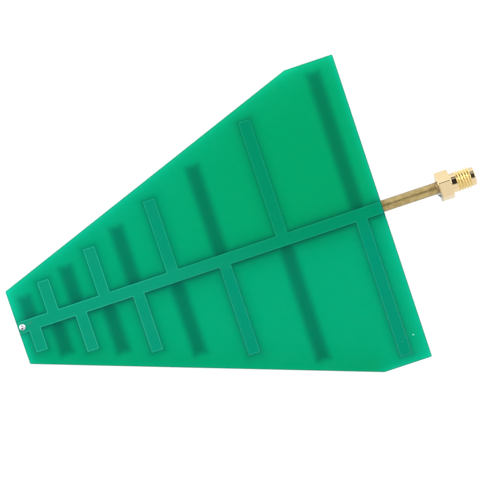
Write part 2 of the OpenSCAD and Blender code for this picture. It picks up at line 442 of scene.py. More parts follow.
class MeshDraft:
    """Collects the points and faces of one piece and turns them into an object."""

    def __init__(self) -> None:
        """Starts with nothing drawn."""
        self.points: list[Vector] = []
        self.faces: list[tuple[int, ...]] = []
        self.smooth: list[bool] = []

    def add(self, points: Iterable[Sequence[float]]) -> list[int]:
        """Adds points.

        Args:
            points: Their places.

        Returns:
            Their numbers.
        """
        first = len(self.points)
        self.points.extend(Vector(p) for p in points)
        return list(range(first, len(self.points)))

    def face(self, corners: Iterable[int], smooth: bool = False) -> None:
        """Adds one face."""
        self.faces.append(tuple(corners))
        self.smooth.append(smooth)

    def band(
        self, first: Sequence[int], second: Sequence[int], closed: bool = True, smooth: bool = True
    ) -> None:
        """Joins two rows of points by a band of quads.

        Args:
            first: First row.
            second: Second row, with as many points.
            closed: Whether the band also joins the ends of the rows.
            smooth: Whether its quads are shaded as one surface.
        """
        count = len(first)
        for k in range(count if closed else count - 1):
            n = (k + 1) % count
            self.face((first[k], first[n], second[n], second[k]), smooth)

    def cap(self, loops: Sequence[Sequence[int]]) -> None:
        """Fills a flat region.

        Args:
            loops: The loop around the region, and then the loops around its holes.
        """
        order = [index for loop in loops for index in loop]
        flat = [[self.points[index].to_2d().to_3d() for index in loop] for loop in loops]
        for corners in tessellate_polygon(flat):
            self.face(order[k] for k in corners)

    def fan(self, centre: int, row: Sequence[int]) -> None:
        """Closes a row of points around one centre point."""
        for here, after in zip(row, [*row[1:], row[0]]):
            self.face((centre, here, after), True)

    def piece(self, name: str, finish: "Finish", slot: Slot, node: str, crease: float = 0.0) -> None:
        """Makes the object, which stands for a CAD node and rides on its body.

        Args:
            name: Name of the piece.
            finish: Finish that dresses it.
            slot: The record's material slot; not used.
            node: CAD node that it replaces.
            crease: Angle in degrees from which edges stay sharp, or 0 to keep the faces as drawn.
        """
        mesh = bpy.data.meshes.new(name)
        mesh.from_pydata(self.points, [], self.faces)
        mesh.polygons.foreach_set("use_smooth", self.smooth)
        work = bmesh.new()
        work.from_mesh(mesh)
        bmesh.ops.remove_doubles(work, verts=work.verts, dist=TINY)
        bmesh.ops.dissolve_degenerate(work, edges=work.edges, dist=TINY / 10)
        bmesh.ops.recalc_face_normals(work, faces=work.faces)
        work.to_mesh(mesh)
        work.free()
        if crease:
            mesh.shade_smooth()
            mesh.set_sharp_from_angle(angle=math.radians(crease))
        mesh.materials.append(finish.material())
        made = bpy.data.objects.new(name, mesh)
        bpy.context.scene.collection.objects.link(made)
        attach(made, ROOT)
        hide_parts(node)
        LOG.info("%s: %d faces, stands for %s", name, len(mesh.polygons), node)


def dress(node: str, finish: "Finish") -> None:
    """Gives a CAD node that keeps its own shape a new finish.

    Args:
        node: Name of the node.
        finish: The finish.
    """
    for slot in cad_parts[node].material_slots:
        slot.material = finish.material()
    LOG.info("%s: keeps its solid, dressed in %s", node, finish.name)


class BoxDistance(Effect):
    """Distance in millimetres from a rectangle's edge, below zero inside it."""

    name = "rectangle_distance"
    inputs = {
        **POINT_INPUT,
        "Centre": (SocketKind.VECTOR, ORIGIN),
        "Half": (SocketKind.VECTOR, (1.0, 1.0, 0.0)),
    }
    outputs = {"Distance": SocketKind.NUMBER}

    def formula(self, graph: Graph, given: dict[str, Socket]) -> dict[str, Value]:
        """Adds the way to the corner outside and the way to the nearest side inside.

        Args:
            graph: Tree of the group.
            given: Its inputs by name.

        Returns:
            Its outputs by name.
        """
        away = graph.vector("ABSOLUTE", graph.vector("SUBTRACT", given["Point"], given["Centre"]))
        over = graph.vector("SUBTRACT", away, given["Half"])
        flat = graph.vector("MULTIPLY", over, LAID_FLAT)
        outside = graph.vector("LENGTH", graph.vector("MAXIMUM", flat, ORIGIN))
        x, y, _ = graph.parts(over)
        inside = graph.math("MINIMUM", graph.math("MAXIMUM", x, y), 0.0)
        return {"Distance": graph.math("ADD", outside, inside)}


class CombDistance(Effect):
    """Distance in millimetres from the edge of an etched comb, below zero on the foil."""

    inputs = POINT_INPUT
    outputs = {"Comb": SocketKind.NUMBER, "Boom": SocketKind.NUMBER}

    def __init__(self, name: str, comb: Comb) -> None:
        """Keeps the comb that the distance is measured from."""
        self.name = name
        self.comb = comb

    def formula(self, graph: Graph, given: dict[str, Socket]) -> dict[str, Value]:
        """Takes the nearest of the boom and all arms.

        Args:
            graph: Tree of the group.
            given: Its inputs by name.

        Returns:
            Its outputs by name.
        """
        box = BoxDistance()
        nearest = boom = None
        for rect in (self.comb.boom, *self.comb.arms):
            one = graph.effect(box, Point=given["Point"], Centre=rect.centre(), Half=rect.half())["Distance"]
            boom = boom or one
            nearest = graph.math("MINIMUM", nearest, one) if nearest else one
        return {"Comb": nearest, "Boom": boom}


class EdgeLight(Effect):
    """Painted light that the translucent board takes in at its routed edges, and a painted dark rim of shade
    along them.
    """

    name = "board_edge_light"
    inputs = POINT_INPUT
    outputs = {"Glow": SocketKind.NUMBER, "Rim": SocketKind.NUMBER}
    # The light is a short bright glow on a long faint one: their reach, share and loss in the shade
    short_reach: ClassVar[float] = 0.95
    long_reach: ClassVar[float] = 4.0
    short_share: ClassVar[float] = 0.42
    long_share: ClassVar[float] = 0.15
    short_loss: ClassVar[float] = 0.5
    long_loss: ClassVar[float] = 2.1
    # The edge at the tip takes in more than the sides by this share, and the wide edge less
    tip_gain: ClassVar[float] = 0.12
    # Painted shade: the dark rim along the outline fades out over this span, in millimetres
    rim_shade_width: ClassVar[Span] = (0.25, 0.5)
    # Where the shade eases off along X, and how much of it is left by the jack
    shade_run: ClassVar[Span] = (24.0, 35.0)
    shade_left: ClassVar[float] = 0.3
    # Shorter stretches of the outline are no edge of their own
    straight: ClassVar[float] = 5.0 * MM

    def __init__(self, outline: Sequence[Flat]) -> None:
        """Keeps the board's outline."""
        self.outline = outline

    def formula(self, graph: Graph, given: dict[str, Socket]) -> dict[str, Value]:
        """Adds up what each straight edge lets in. The edges towards -Y lie in shade, less so by the jack.

        Args:
            graph: Tree of the group.
            given: Its inputs by name.

        Returns:
            Its outputs by name.
        """
        glow, nearest = 0.0, FAR_OFF
        x, _, _ = graph.parts(given["Point"])
        shaded = graph.ramp(x, *self.shade_run, low=1.0, high=self.shade_left)
        ends = [*self.outline[1:], self.outline[0]]
        for start, end in zip(map(Vector, self.outline), map(Vector, ends)):
            along = end - start
            if along.length < self.straight:
                continue
            out = Vector((along.y, -along.x)).normalized()
            shade = max(0.0, -out.y)
            side = 1.0 - self.tip_gain * out.x
            across = graph.vector("DOT_PRODUCT", given["Point"], (out.x, out.y, 0.0))
            inside = graph.math("SUBTRACT", out.dot(start) / MM, across)
            # Painted light that each edge lets in, less where the edge lies in shade
            for reach, full, loss in (
                (self.short_reach, self.short_share * side, self.short_loss * shade),
                (self.long_reach, self.long_share * side, self.long_loss * shade),
            ):
                share = graph.math("MULTIPLY_ADD", shaded, -full * loss, full)
                glow = graph.math("MULTIPLY_ADD", graph.fade(inside, reach), share, glow)
            nearest = graph.math("MINIMUM", nearest, inside)
        # The dark rim along the outline is painted shade
        return {"Glow": glow, "Rim": graph.ramp(nearest, *self.rim_shade_width, low=1.0, high=0.0)}


class LaminatePaint(Effect):
    """Colour of the masked board: foil below it, painted shadow of the foil on the far face showing through,
    painted shade beside the near foil and the cable, and painted glow and dark rim at its edges.
    """

    name = "masked_laminate"
    inputs = {
        **POINT_INPUT,
        "Near": (SocketKind.NUMBER, 1.0),
        "Far": (SocketKind.NUMBER, 1.0),
        "Boom": (SocketKind.NUMBER, 1.0),
        "Glow": (SocketKind.NUMBER, 0.0),
        "Rim": (SocketKind.NUMBER, 0.0),
        "Bare": (SocketKind.COLOUR, (0.0, 0.4, 0.18)),
        "Shade": (SocketKind.COLOUR, (0.0, 0.06, 0.05)),
        "Edge Tint": (SocketKind.COLOUR, (0.0, 0.4, 0.3)),
        "Foil Lit": (SocketKind.COLOUR, (0.0, 0.35, 0.2)),
        "Foil Dim": (SocketKind.COLOUR, (0.0, 0.3, 0.15)),
        "Ridge": (SocketKind.COLOUR, (0.0, 0.4, 0.25)),
        "Warm": (SocketKind.COLOUR, (1.0, 1.0, 1.0)),
    }
    outputs = {"Color": SocketKind.COLOUR}
    # Where the far foil's blurred shadow starts and ends, and how much light it leaves
    far_blur: ClassVar[Span] = (-1.2, 1.8)
    far_light: ClassVar[float] = 0.56
    # Share of light that the far foil, the near foil and its edge take beside them, and how far that reaches
    far_take: ClassVar[tuple[float, float]] = (0.06, 2.0)
    near_take: ClassVar[tuple[float, float]] = (0.35, 1.35)
    edge_take: ClassVar[tuple[float, float]] = (0.16, 0.35)
    # The cable behind the boom takes more on one side than on the other, and little at the tip
    boom_sides: ClassVar[Span] = (-2.0, 2.0)
    boom_take: ClassVar[Span] = (0.19, 0.09)
    boom_reach: ClassVar[float] = 4.0
    boom_tip: ClassVar[Span] = (-72.0, -66.0)
    boom_tip_left: ClassVar[float] = 0.1
    # The resin is a little uneven; this much light gives the darkest shade; the painted shade of the dark rim
    # is mixed in by a share
    mottle: ClassVar[Patches] = Patches(1.7, (0.25, 0.75), (0.985, 1.015))
    darkest: ClassVar[float] = 0.15
    rim_shade_depth: ClassVar[float] = 0.3
    # The pale, broken line on the foil's shoulder is partly the thinner mask letting the foil through and
    # partly a painted highlight, fainter towards the jack
    ridge_at: ClassVar[float] = -0.17
    ridge_half: ClassVar[float] = 0.14
    ridge_run: ClassVar[Span] = (-60.0, -5.0)
    ridge_left: ClassVar[float] = 0.4
    ridge_breaks: ClassVar[Patches] = Patches(0.9, (0.3, 0.6), (0.6, 1.0))
    # Painted light on the foil falls off along the boom, and its arms dim sooner and are a little dimmer than
    # the boom
    foil_edge: ClassVar[Span] = (-0.04, 0.04)
    boom_run: ClassVar[Span] = (-32.0, 28.0)
    arm_run: ClassVar[Span] = (-62.0, 15.0)
    arm_start: ClassVar[Span] = (0.0, 2.0)
    arm_light: ClassVar[float] = 0.975
    # The corner beyond the jack's upper side is painted a little warmer, a tint of the light, but its edge by
    # the jack less so
    warm_x: ClassVar[Span] = (-45.0, 26.0)
    warm_y: ClassVar[Span] = (-9.0, 1.0)
    warm_end: ClassVar[Span] = (40.6, 42.9)
    warm_left: ClassVar[float] = 0.35

    def shadow(self, graph: Graph, distance: Socket, take: Value, reach: float) -> Socket:
        """Light that is left beside something that takes this share of it."""
        lost = graph.math("MULTIPLY", graph.fade(graph.math("MAXIMUM", distance, 0.0), reach), take)
        return graph.math("SUBTRACT", 1.0, lost)

    def beside(self, graph: Graph, given: dict[str, Socket]) -> Socket:
        """Light that is left beside the near foil and the cable behind the boom.

        Args:
            graph: Tree of the group.
            given: Its inputs by name.

        Returns:
            The share of light.
        """
        x, y, _ = graph.parts(given["Point"])
        tip = graph.ramp(x, *self.boom_tip, low=self.boom_tip_left)
        cable = graph.math("MULTIPLY", graph.ramp(y, *self.boom_sides, *self.boom_take), tip)
        takes = (
            (given["Near"], *self.near_take),
            (given["Near"], *self.edge_take),
            (given["Boom"], cable, self.boom_reach),
        )
        left = 1.0
        for distance, take, reach in takes:
            left = graph.math("MULTIPLY", left, self.shadow(graph, distance, take, reach))
        return left

    def board(self, graph: Graph, given: dict[str, Socket]) -> Socket:
        """Colour of the board where there is no foil on the near face, with its painted shadow, shade and
        glow.

        Args:
            graph: Tree of the group.
            given: Its inputs by name.

        Returns:
            The colour.
        """
        # Painted shade beside the near foil and the cable, and painted shadow of the far foil through the
        # board
        beside = self.beside(graph, given)
        through = graph.ramp(given["Far"], *self.far_blur, low=self.far_light)
        through = graph.math("MULTIPLY", through, self.shadow(graph, given["Far"], *self.far_take))
        light = graph.math("MULTIPLY", through, beside)
        light = graph.math("MULTIPLY", light, graph.patches(given["Point"], self.mottle))
        share = graph.math("DIVIDE", graph.math("SUBTRACT", light, self.darkest), 1.0 - self.darkest)
        colour = graph.mix(share, given["Shade"], given["Bare"])
        # Painted glow that the edges let in
        glow = graph.vector("SCALE", given["Edge Tint"], graph.math("MULTIPLY", given["Glow"], beside))
        colour = graph.vector("ADD", colour, glow)
        # Painted shade of the dark rim along the edges
        return graph.mix(graph.math("MULTIPLY", given["Rim"], self.rim_shade_depth), colour, given["Shade"])

    def foil(self, graph: Graph, given: dict[str, Socket]) -> Socket:
        """Colour of the mask over the foil, with painted light that falls off along the boom and the arms.

        Args:
            graph: Tree of the group.
            given: Its inputs by name.

        Returns:
            The colour.
        """
        x, _, _ = graph.parts(given["Point"])
        # Painted light that falls off along the boom, and sooner along the arms
        boom, arm = (
            graph.mix(graph.ramp(x, *run), given["Foil Lit"], given["Foil Dim"])
            for run in (self.boom_run, self.arm_run)
        )
        arms = graph.ramp(given["Boom"], *self.arm_start)
        return graph.mix(arms, boom, graph.vector("SCALE", arm, self.arm_light))

    def ridge(self, graph: Graph, given: dict[str, Socket]) -> Socket:
        """Mask of the pale line on the foil's shoulder, partly thinner mask and partly a painted highlight.

        Args:
            graph: Tree of the group.
            given: Its inputs by name.

        Returns:
            The mask.
        """
        x, _, _ = graph.parts(given["Point"])
        # The pale line: thinner mask on the foil's shoulder and a painted highlight
        off = graph.math("ABSOLUTE", graph.math("SUBTRACT", given["Near"], self.ridge_at))
        line = graph.ramp(off, 0.0, self.ridge_half, low=1.0, high=0.0)
        line = graph.math("MULTIPLY", line, graph.ramp(x, *self.ridge_run, low=1.0, high=self.ridge_left))
        return graph.math("MULTIPLY", line, graph.patches(given["Point"], self.ridge_breaks))

    def formula(self, graph: Graph, given: dict[str, Socket]) -> dict[str, Value]:
        """Lays the foil and its ridge over the board and paints a warmer tint of the light on one corner.

        Args:
            graph: Tree of the group.
            given: Its inputs by name.

        Returns:
            Its outputs by name.
        """
        x, y, _ = graph.parts(given["Point"])
        foil = graph.ramp(given["Near"], *self.foil_edge, low=1.0, high=0.0)
        colour = graph.mix(foil, self.board(graph, given), self.foil(graph, given))
        colour = graph.mix(self.ridge(graph, given), colour, given["Ridge"])
        # Painted warmer tint of the light on one corner
        corner = graph.math("MULTIPLY", graph.ramp(x, *self.warm_x), graph.ramp(y, *self.warm_y))
        corner = graph.math("MULTIPLY", corner, graph.ramp(x, *self.warm_end, low=1.0, high=self.warm_left))
        return {"Color": graph.mix(corner, colour, given["Warm"], "MULTIPLY")}


class Grain(Effect):
    """Fine unevenness of a surface, for its height and its gloss."""

    name = "fine_grain"
    inputs = {
        **POINT_INPUT,
        "Size": (SocketKind.NUMBER, 0.5),
        "Gloss Low": (SocketKind.NUMBER, 0.2),
        "Gloss High": (SocketKind.NUMBER, 0.3),
    }
    outputs = {"Height": SocketKind.NUMBER, "Roughness": SocketKind.NUMBER}
    # Patches of gloss: so many times the grain's size, their detail, and the span of the noise they rise over
    patch_size: ClassVar[float] = 8.0
    patch_detail: ClassVar[float] = 4.0
    patch_span: ClassVar[Span] = (0.3, 0.7)

    def formula(self, graph: Graph, given: dict[str, Socket]) -> dict[str, Value]:
        """Takes the height from the grain and the gloss from much larger patches.

        Args:
            graph: Tree of the group.
            given: Its inputs by name.

        Returns:
            Its outputs by name.
        """
        spot = graph.vector("DIVIDE", given["Point"], graph.join(given["Size"], given["Size"], given["Size"]))
        patches = graph.noise(spot, self.patch_size, self.patch_detail)
        gloss = graph.ramp(patches, *self.patch_span, given["Gloss Low"], given["Gloss High"])
        return {"Height": graph.noise(spot, 1.0), "Roughness": gloss}


class Tarnish(Effect):
    """Patches where metal has dulled, with fine spots inside them."""

    name = "tarnish"
    inputs = {
        **POINT_INPUT,
        "Size": (SocketKind.NUMBER, 1.0),
        "Amount": (SocketKind.NUMBER, 0.5),
    }
    outputs = {"Mask": SocketKind.NUMBER}
    # Sizes count in the effect's own size
    broad: ClassVar[Patches] = Patches(1.0, (0.38, 0.68), detail=4.0)
    fine: ClassVar[Patches] = Patches(0.22, gives=(0.5, 1.0), detail=2.0)

    def formula(self, graph: Graph, given: dict[str, Socket]) -> dict[str, Value]:
        """Multiplies broad patches by finer spots and limits them by the amount.

        Args:
            graph: Tree of the group.
            given: Its inputs by name.

        Returns:
            Its outputs by name.
        """
        spot = graph.vector("DIVIDE", given["Point"], graph.join(given["Size"], given["Size"], given["Size"]))
        spots = graph.math("MULTIPLY", graph.patches(spot, self.broad), graph.patches(spot, self.fine))
        return {"Mask": graph.math("MULTIPLY", spots, given["Amount"])}


class ToolMarks(Effect):
    """Fine parallel lines left by a cutting tool or a drawing die, as a height."""

    name = "tool_marks"
    inputs = {
        "Along": (SocketKind.NUMBER, 0.0),
        "Pitch": (SocketKind.NUMBER, 0.1),
    }
    outputs = {"Height": SocketKind.NUMBER}
    detail: ClassVar[float] = 2.0

    def formula(self, graph: Graph, given: dict[str, Socket]) -> dict[str, Value]:
        """Draws uneven lines from a noise that changes in one direction only."""
        step = graph.math("DIVIDE", given["Along"], given["Pitch"])
        return {"Height": graph.noise(graph.join(step, 0.0, 0.0), 1.0, self.detail)}


@dataclass(frozen=True)
class Finish:
    """Base of all finishes: a named material around one Principled shader. Sizes are in millimetres."""

    name: str

    def paint(self, graph: Graph, shader: bpy.types.Node, point: Socket) -> None:
        """Sets the shader up; each finish has its own."""
        raise NotImplementedError

    def bump(self, graph: Graph, shader: bpy.types.Node, height: Socket, depth: float) -> None:
        """Feeds a height to the shader's normal.

        Args:
            graph: Tree of the material.
            shader: Its shader.
            height: The height, from 0 to 1.
            depth: How deep that is.
        """
        made = graph.node("Bump")
        made.inputs["Strength"].default_value = 1.0
        made.inputs["Distance"].default_value = depth * MM
        graph.plug(height, made.inputs["Height"])
        graph.plug(made.outputs[0], shader.inputs["Normal"])

    def material(self) -> bpy.types.Material:
        """Builds the material on first use.

        Returns:
            The material.
        """
        made = bpy.data.materials.get(self.name)
        if made is None:
            made = bpy.data.materials.new(self.name)
            made.use_nodes = True
            graph = Graph(made.node_tree)
            place = graph.node("TexCoord").outputs["Object"]
            point = graph.vector("SCALE", place, 1.0 / MM)
            self.paint(graph, made.node_tree.nodes["Principled BSDF"], point)
        return made


@dataclass(frozen=True)
class MaskFinish(Finish):
    """Translucent green solder mask, with the foil of both faces showing through it as painted light and
    shade.
    """

    near: CombDistance
    far: CombDistance
    edges: EdgeLight
    specks: tuple[tuple[float, float, float], ...] = ()
    smudges: tuple[tuple[float, float, float, float], ...] = ()
    lean: float = 0.0
    # Colours of the painted light and shade: the board in full light and in deepest shade, the glow at the
    # edges, the foil lit and dim, the pale ridge line with its painted highlight, and the warmer tint of the
    # light
    lit_colour: Colour = (0.0, 0.402, 0.186)
    shade: Colour = (0.001, 0.06, 0.056)
    edge_tint: Colour = (0.006, 0.37, 0.305)
    foil_lit: Colour = (0.003, 0.337, 0.195)
    foil_dim: Colour = (0.0, 0.304, 0.175)
    ridge: Colour = (0.03, 0.57, 0.38)
    warm: Colour = (0.97, 0.935, 0.775)
    # Specks of dust are solid up to this share of their radius
    dust: Colour = (0.24, 0.86, 0.62)
    dust_core: float = 0.6
    dust_depth: float = 0.9
    # A smudge of flux thins out between these shares of its half sizes, and is broken up
    flux: Colour = (0.05, 0.3, 0.19)
    flux_span: Span = (0.1, 1.0)
    flux_depth: float = 0.4
    flux_breaks: Patches = Patches(0.6, (0.3, 0.6), (0.5, 1.0))
    grain: float = 0.45
    gloss: Span = (0.14, 0.21)
    depth: float = 0.004

    def dirt(self, graph: Graph, point: Socket, colour: Socket) -> Socket:
        """Lays the flux smudges and dust specks over the colour.

        Args:
            graph: Tree of the material.
            point: Place on the surface.
            colour: Colour so far.

        Returns:
            The new colour.
        """
        flat = graph.vector("MULTIPLY", point, LAID_FLAT)
        for x, y, half_x, half_y in self.smudges:
            off = graph.vector("DIVIDE", graph.vector("SUBTRACT", flat, (x, y, 0.0)), (half_x, half_y, 1.0))
            film = graph.ramp(graph.vector("LENGTH", off), *self.flux_span, low=self.flux_depth, high=0.0)
            film = graph.math("MULTIPLY", film, graph.patches(point, self.flux_breaks))
            colour = graph.mix(film, colour, self.flux)
        for x, y, radius in self.specks:
            away = graph.vector("DISTANCE", flat, (x, y, 0.0))
            speck = graph.ramp(away, radius * self.dust_core, radius, low=self.dust_depth, high=0.0)
            colour = graph.mix(speck, colour, self.dust)
        return colour

    def paint(self, graph: Graph, shader: bpy.types.Node, point: Socket) -> None:
        """Paints the masked laminate with its painted light and shade, and the dirt that lies on it.

        Args:
            graph: Tree of the material.
            shader: Its shader.
            point: Place on the surface.
        """
        near = graph.effect(self.near, Point=point)
        far = graph.effect(self.far, Point=graph.vector("ADD", point, (0.0, self.lean, 0.0)))
        edges = graph.effect(self.edges, Point=point)
        board = graph.effect(
            LaminatePaint(), Point=point, Near=near["Comb"], Far=far["Comb"], Boom=near["Boom"],
            Glow=edges["Glow"], Rim=edges["Rim"], Bare=self.lit_colour, Shade=self.shade,
            Edge_Tint=self.edge_tint, Foil_Lit=self.foil_lit, Foil_Dim=self.foil_dim, Ridge=self.ridge,
            Warm=self.warm,
        )
        low, high = self.gloss
        grain = graph.effect(Grain(), Point=point, Size=self.grain, Gloss_Low=low, Gloss_High=high)
        graph.plug(self.dirt(graph, point, board["Color"]), shader.inputs["Base Color"])
        graph.plug(grain["Roughness"], shader.inputs["Roughness"])
        self.bump(graph, shader, grain["Height"], self.depth)


@dataclass(frozen=True)
class LaminateFinish(Finish):
    """Routed edge of the glass-fibre core: thin plies of cloth in greenish resin."""

    resin: Colour = (0.3, 0.42, 0.13)
    fibre: Colour = (0.62, 0.68, 0.36)
    # Thickness of a ply, how far and how slowly the plies wave, and the span from cloth to resin in each
    ply: float = 0.19
    wave: float = 0.11
    wave_size: float = 1.1
    cloth: Span = (0.28, 0.46)
    strands: Patches = Patches(0.16, (0.35, 0.65), (0.35, 1.0), 2.0)
    scorch: Colour = (0.16, 0.2, 0.06)
    scorch_size: float = 2.6
    scorch_amount: float = 0.55
    router_pitch: float = 0.14
    grain: float = 0.12
    gloss: Span = (0.5, 0.72)
    depth: float = 0.02

    def paint(self, graph: Graph, shader: bpy.types.Node, point: Socket) -> None:
        """Lays wavy plies over each other, with router marks and darker resin between them.

        Args:
            graph: Tree of the material.
            shader: Its shader.
            point: Place on the surface.
        """
        x, y, z = graph.parts(point)
        wave = graph.math("MULTIPLY", graph.noise(point, self.wave_size), self.wave)
        layer = graph.math("FRACT", graph.math("DIVIDE", graph.math("ADD", z, wave), self.ply))
        off = graph.math("ABSOLUTE", graph.math("SUBTRACT", layer, 0.5))
        cloth = graph.ramp(off, *self.cloth, low=1.0, high=0.0)
        strands = graph.patches(point, self.strands)
        colour = graph.mix(graph.math("MULTIPLY", cloth, strands), self.resin, self.fibre)
        dull = graph.effect(Tarnish(), Point=point, Size=self.scorch_size, Amount=self.scorch_amount)["Mask"]
        graph.plug(graph.mix(dull, colour, self.scorch), shader.inputs["Base Color"])
        low, high = self.gloss
        grain = graph.effect(Grain(), Point=point, Size=self.grain, Gloss_Low=low, Gloss_High=high)
        marks = graph.effect(ToolMarks(), Along=graph.math("ADD", x, y), Pitch=self.router_pitch)["Height"]
        graph.plug(grain["Roughness"], shader.inputs["Roughness"])
        self.bump(graph, shader, graph.math("ADD", grain["Height"], marks), self.depth)


@dataclass(frozen=True)
class MetalFinish(Finish):
    """A metal with tarnish, fine grain and tool marks."""

    bright: Colour
    dull: Colour
    gloss: Span
    metallic: float = 1.0
    tarnish: float = 0.5
    tarnish_size: float = 1.2
    tarnish_roughness: float = 0.12
    grain: float = 0.15
    mark_detail: float = 2.0
    depth: float = 0.003

    def marks(self, graph: Graph, point: Socket) -> Socket:
        """Height of the marks that the maker's tool left; plain grain where there are none."""
        return graph.noise(point, self.grain, self.mark_detail)

    def stain(self, graph: Graph, point: Socket, colour: Socket) -> Socket:
        """Local stains; none on most metals."""
        return colour

    def dulling(self, graph: Graph, point: Socket) -> Value:
        """Roughness added in places that the polish didn't reach; none on most metals."""
        return 0.0

    def shine(self, graph: Graph, point: Socket) -> Value:
        """Share of the surface that reflects as plain metal; the same all over on most metals."""
        return self.metallic

    def paint(self, graph: Graph, shader: bpy.types.Node, point: Socket) -> None:
        """Dulls the metal in patches and roughens it there.

        Args:
            graph: Tree of the material.
            shader: Its shader.
            point: Place on the surface.
        """
        spots = graph.effect(Tarnish(), Point=point, Size=self.tarnish_size, Amount=self.tarnish)["Mask"]
        low, high = self.gloss
        grain = graph.effect(Grain(), Point=point, Size=self.grain, Gloss_Low=low, Gloss_High=high)
        colour = self.stain(graph, point, graph.mix(spots, self.bright, self.dull))
        graph.plug(colour, shader.inputs["Base Color"])
        roughness = graph.math("MULTIPLY_ADD", spots, self.tarnish_roughness, grain["Roughness"])
        graph.plug(graph.math("ADD", roughness, self.dulling(graph, point)), shader.inputs["Roughness"])
        graph.plug(self.shine(graph, point), shader.inputs["Metallic"])
        height = graph.math("ADD", grain["Height"], self.marks(graph, point))
        self.bump(graph, shader, height, self.depth)


@dataclass(frozen=True)
class TurnedFinish(MetalFinish):
    """Metal turned on a lathe about the cable's axis."""

    pitch: float = 0.07

    def marks(self, graph: Graph, point: Socket) -> Socket:
        """Rings around the axis."""
        x, _, _ = graph.parts(point)
        return graph.effect(ToolMarks(), Along=x, Pitch=self.pitch)["Height"]


@dataclass(frozen=True)
class ThreadFinish(TurnedFinish):
    """Turned metal with painted shade and some dirt in the roots of its thread, a thread painted lighter, and
    solder, painted shade and flux on its rear edge.
    """

    # Place of the axis across and up, and of the rear face and both ends of the thread along X
    axis: Flat = (0.0, 0.0)
    rear: float = 0.0
    thread: Span = (0.0, 0.0)
    run_out: float = 0.05
    # The thread is painted lighter and yellower, and is rougher and more satin than the rest, and the pilot
    # is a little rougher
    flank_light_and_shade: Colour = (1.0, 0.82, 0.42)
    thread_dulling: float = 0.2
    thread_shine: float = 0.5
    pilot_dulling: float = 0.1
    # Painted shade with some dirt in the thread's roots: radii between which it thins out, and angles between
    # which it starts and ends
    root_shade_and_dirt: Colour = (0.2, 0.14, 0.035)
    root_shade_depth: float = 0.75
    roots: Span = (2.7, 2.98)
    root_shade_start: Span = (22.0, 31.0)
    root_shade_end: Span = (62.0, 40.0)
    # The rear edge: grey towards -Y, partly solder and partly painted shade, flux next to it, and how far
    # both reach across and along X
    tin_and_shade: Colour = (0.42, 0.4, 0.35)
    flux: Colour = (0.6, 0.43, 0.2)
    rear_edge_depth: float = 0.8
    rear_edge_run: Span = (0.25, 0.5)
    tin_and_shade_side: Span = (-2.0, -1.0)
    flux_side: Span = (0.8, 1.6)

    def along(self, graph: Graph, point: Socket) -> Socket:
        """Finds the thread.

        Args:
            graph: Tree of the material.
            point: Place on the surface.

        Returns:
            A mask that is one along the thread and nothing on the neck and the pilot.
        """
        x, _, _ = graph.parts(point)
        ends = [
            graph.ramp(x, bound - sign * self.run_out, bound + sign * self.run_out)
            for bound, sign in zip(self.thread, (1.0, -1.0))
        ]
        return graph.math("MULTIPLY", *ends)

    def stain(self, graph: Graph, point: Socket, colour: Socket) -> Socket:
        """Paints the thread lighter and yellower, paints shade with some dirt into its roots on the side of
        +Y, and tints the rear edge.

        Args:
            graph: Tree of the material.
            point: Place on the surface.
            colour: Colour so far.

        Returns:
            The stained colour.
        """
        x, y, z = graph.parts(point)
        across = graph.math("SUBTRACT", y, self.axis[0])
        up = graph.math("SUBTRACT", z, self.axis[1])
        radius = graph.vector("LENGTH", graph.join(0.0, across, up))
        # Painted shade with some dirt in the roots, on the side of +Y only
        deep = graph.ramp(radius, *self.roots, low=self.root_shade_depth, high=0.0)
        for span in (self.root_shade_start, self.root_shade_end):
            deep = graph.math("MULTIPLY", deep, graph.ramp(graph.turn(across, up), *span))
        along = self.along(graph, point)
        # Painted light: the thread is lighter and yellower than the rest
        colour = graph.mix(along, colour, self.flank_light_and_shade)
        colour = graph.mix(graph.math("MULTIPLY", deep, along), colour, self.root_shade_and_dirt)
        # Rear edge: grey towards -Y, partly solder and partly painted shade, and flux towards +Y
        rear_edge_mask = graph.ramp(graph.math("SUBTRACT", x, self.rear), *self.rear_edge_run, low=self.rear_edge_depth, high=0.0)
        rear_edge_mask = graph.math("MULTIPLY", rear_edge_mask, graph.ramp(across, *self.flux_side, low=1.0, high=0.0))
        return graph.mix(rear_edge_mask, colour, graph.mix(graph.ramp(across, *self.tin_and_shade_side), self.tin_and_shade, self.flux))

    def dulling(self, graph: Graph, point: Socket) -> Value:
        """Leaves the thread and the pilot less polished than the rest.

        Args:
            graph: Tree of the material.
            point: Place on the surface.

        Returns:
            The roughness to add.
        """
        x, _, _ = graph.parts(point)
        end = self.thread[1]
        pilot = graph.ramp(x, end - self.run_out, end + self.run_out, high=self.pilot_dulling)
        return graph.math("MULTIPLY_ADD", self.along(graph, point), self.thread_dulling, pilot)

    def shine(self, graph: Graph, point: Socket) -> Value:
        """Leaves the thread satin."""
        change = self.thread_shine - self.metallic
        return graph.math("MULTIPLY_ADD", self.along(graph, point), change, self.metallic)


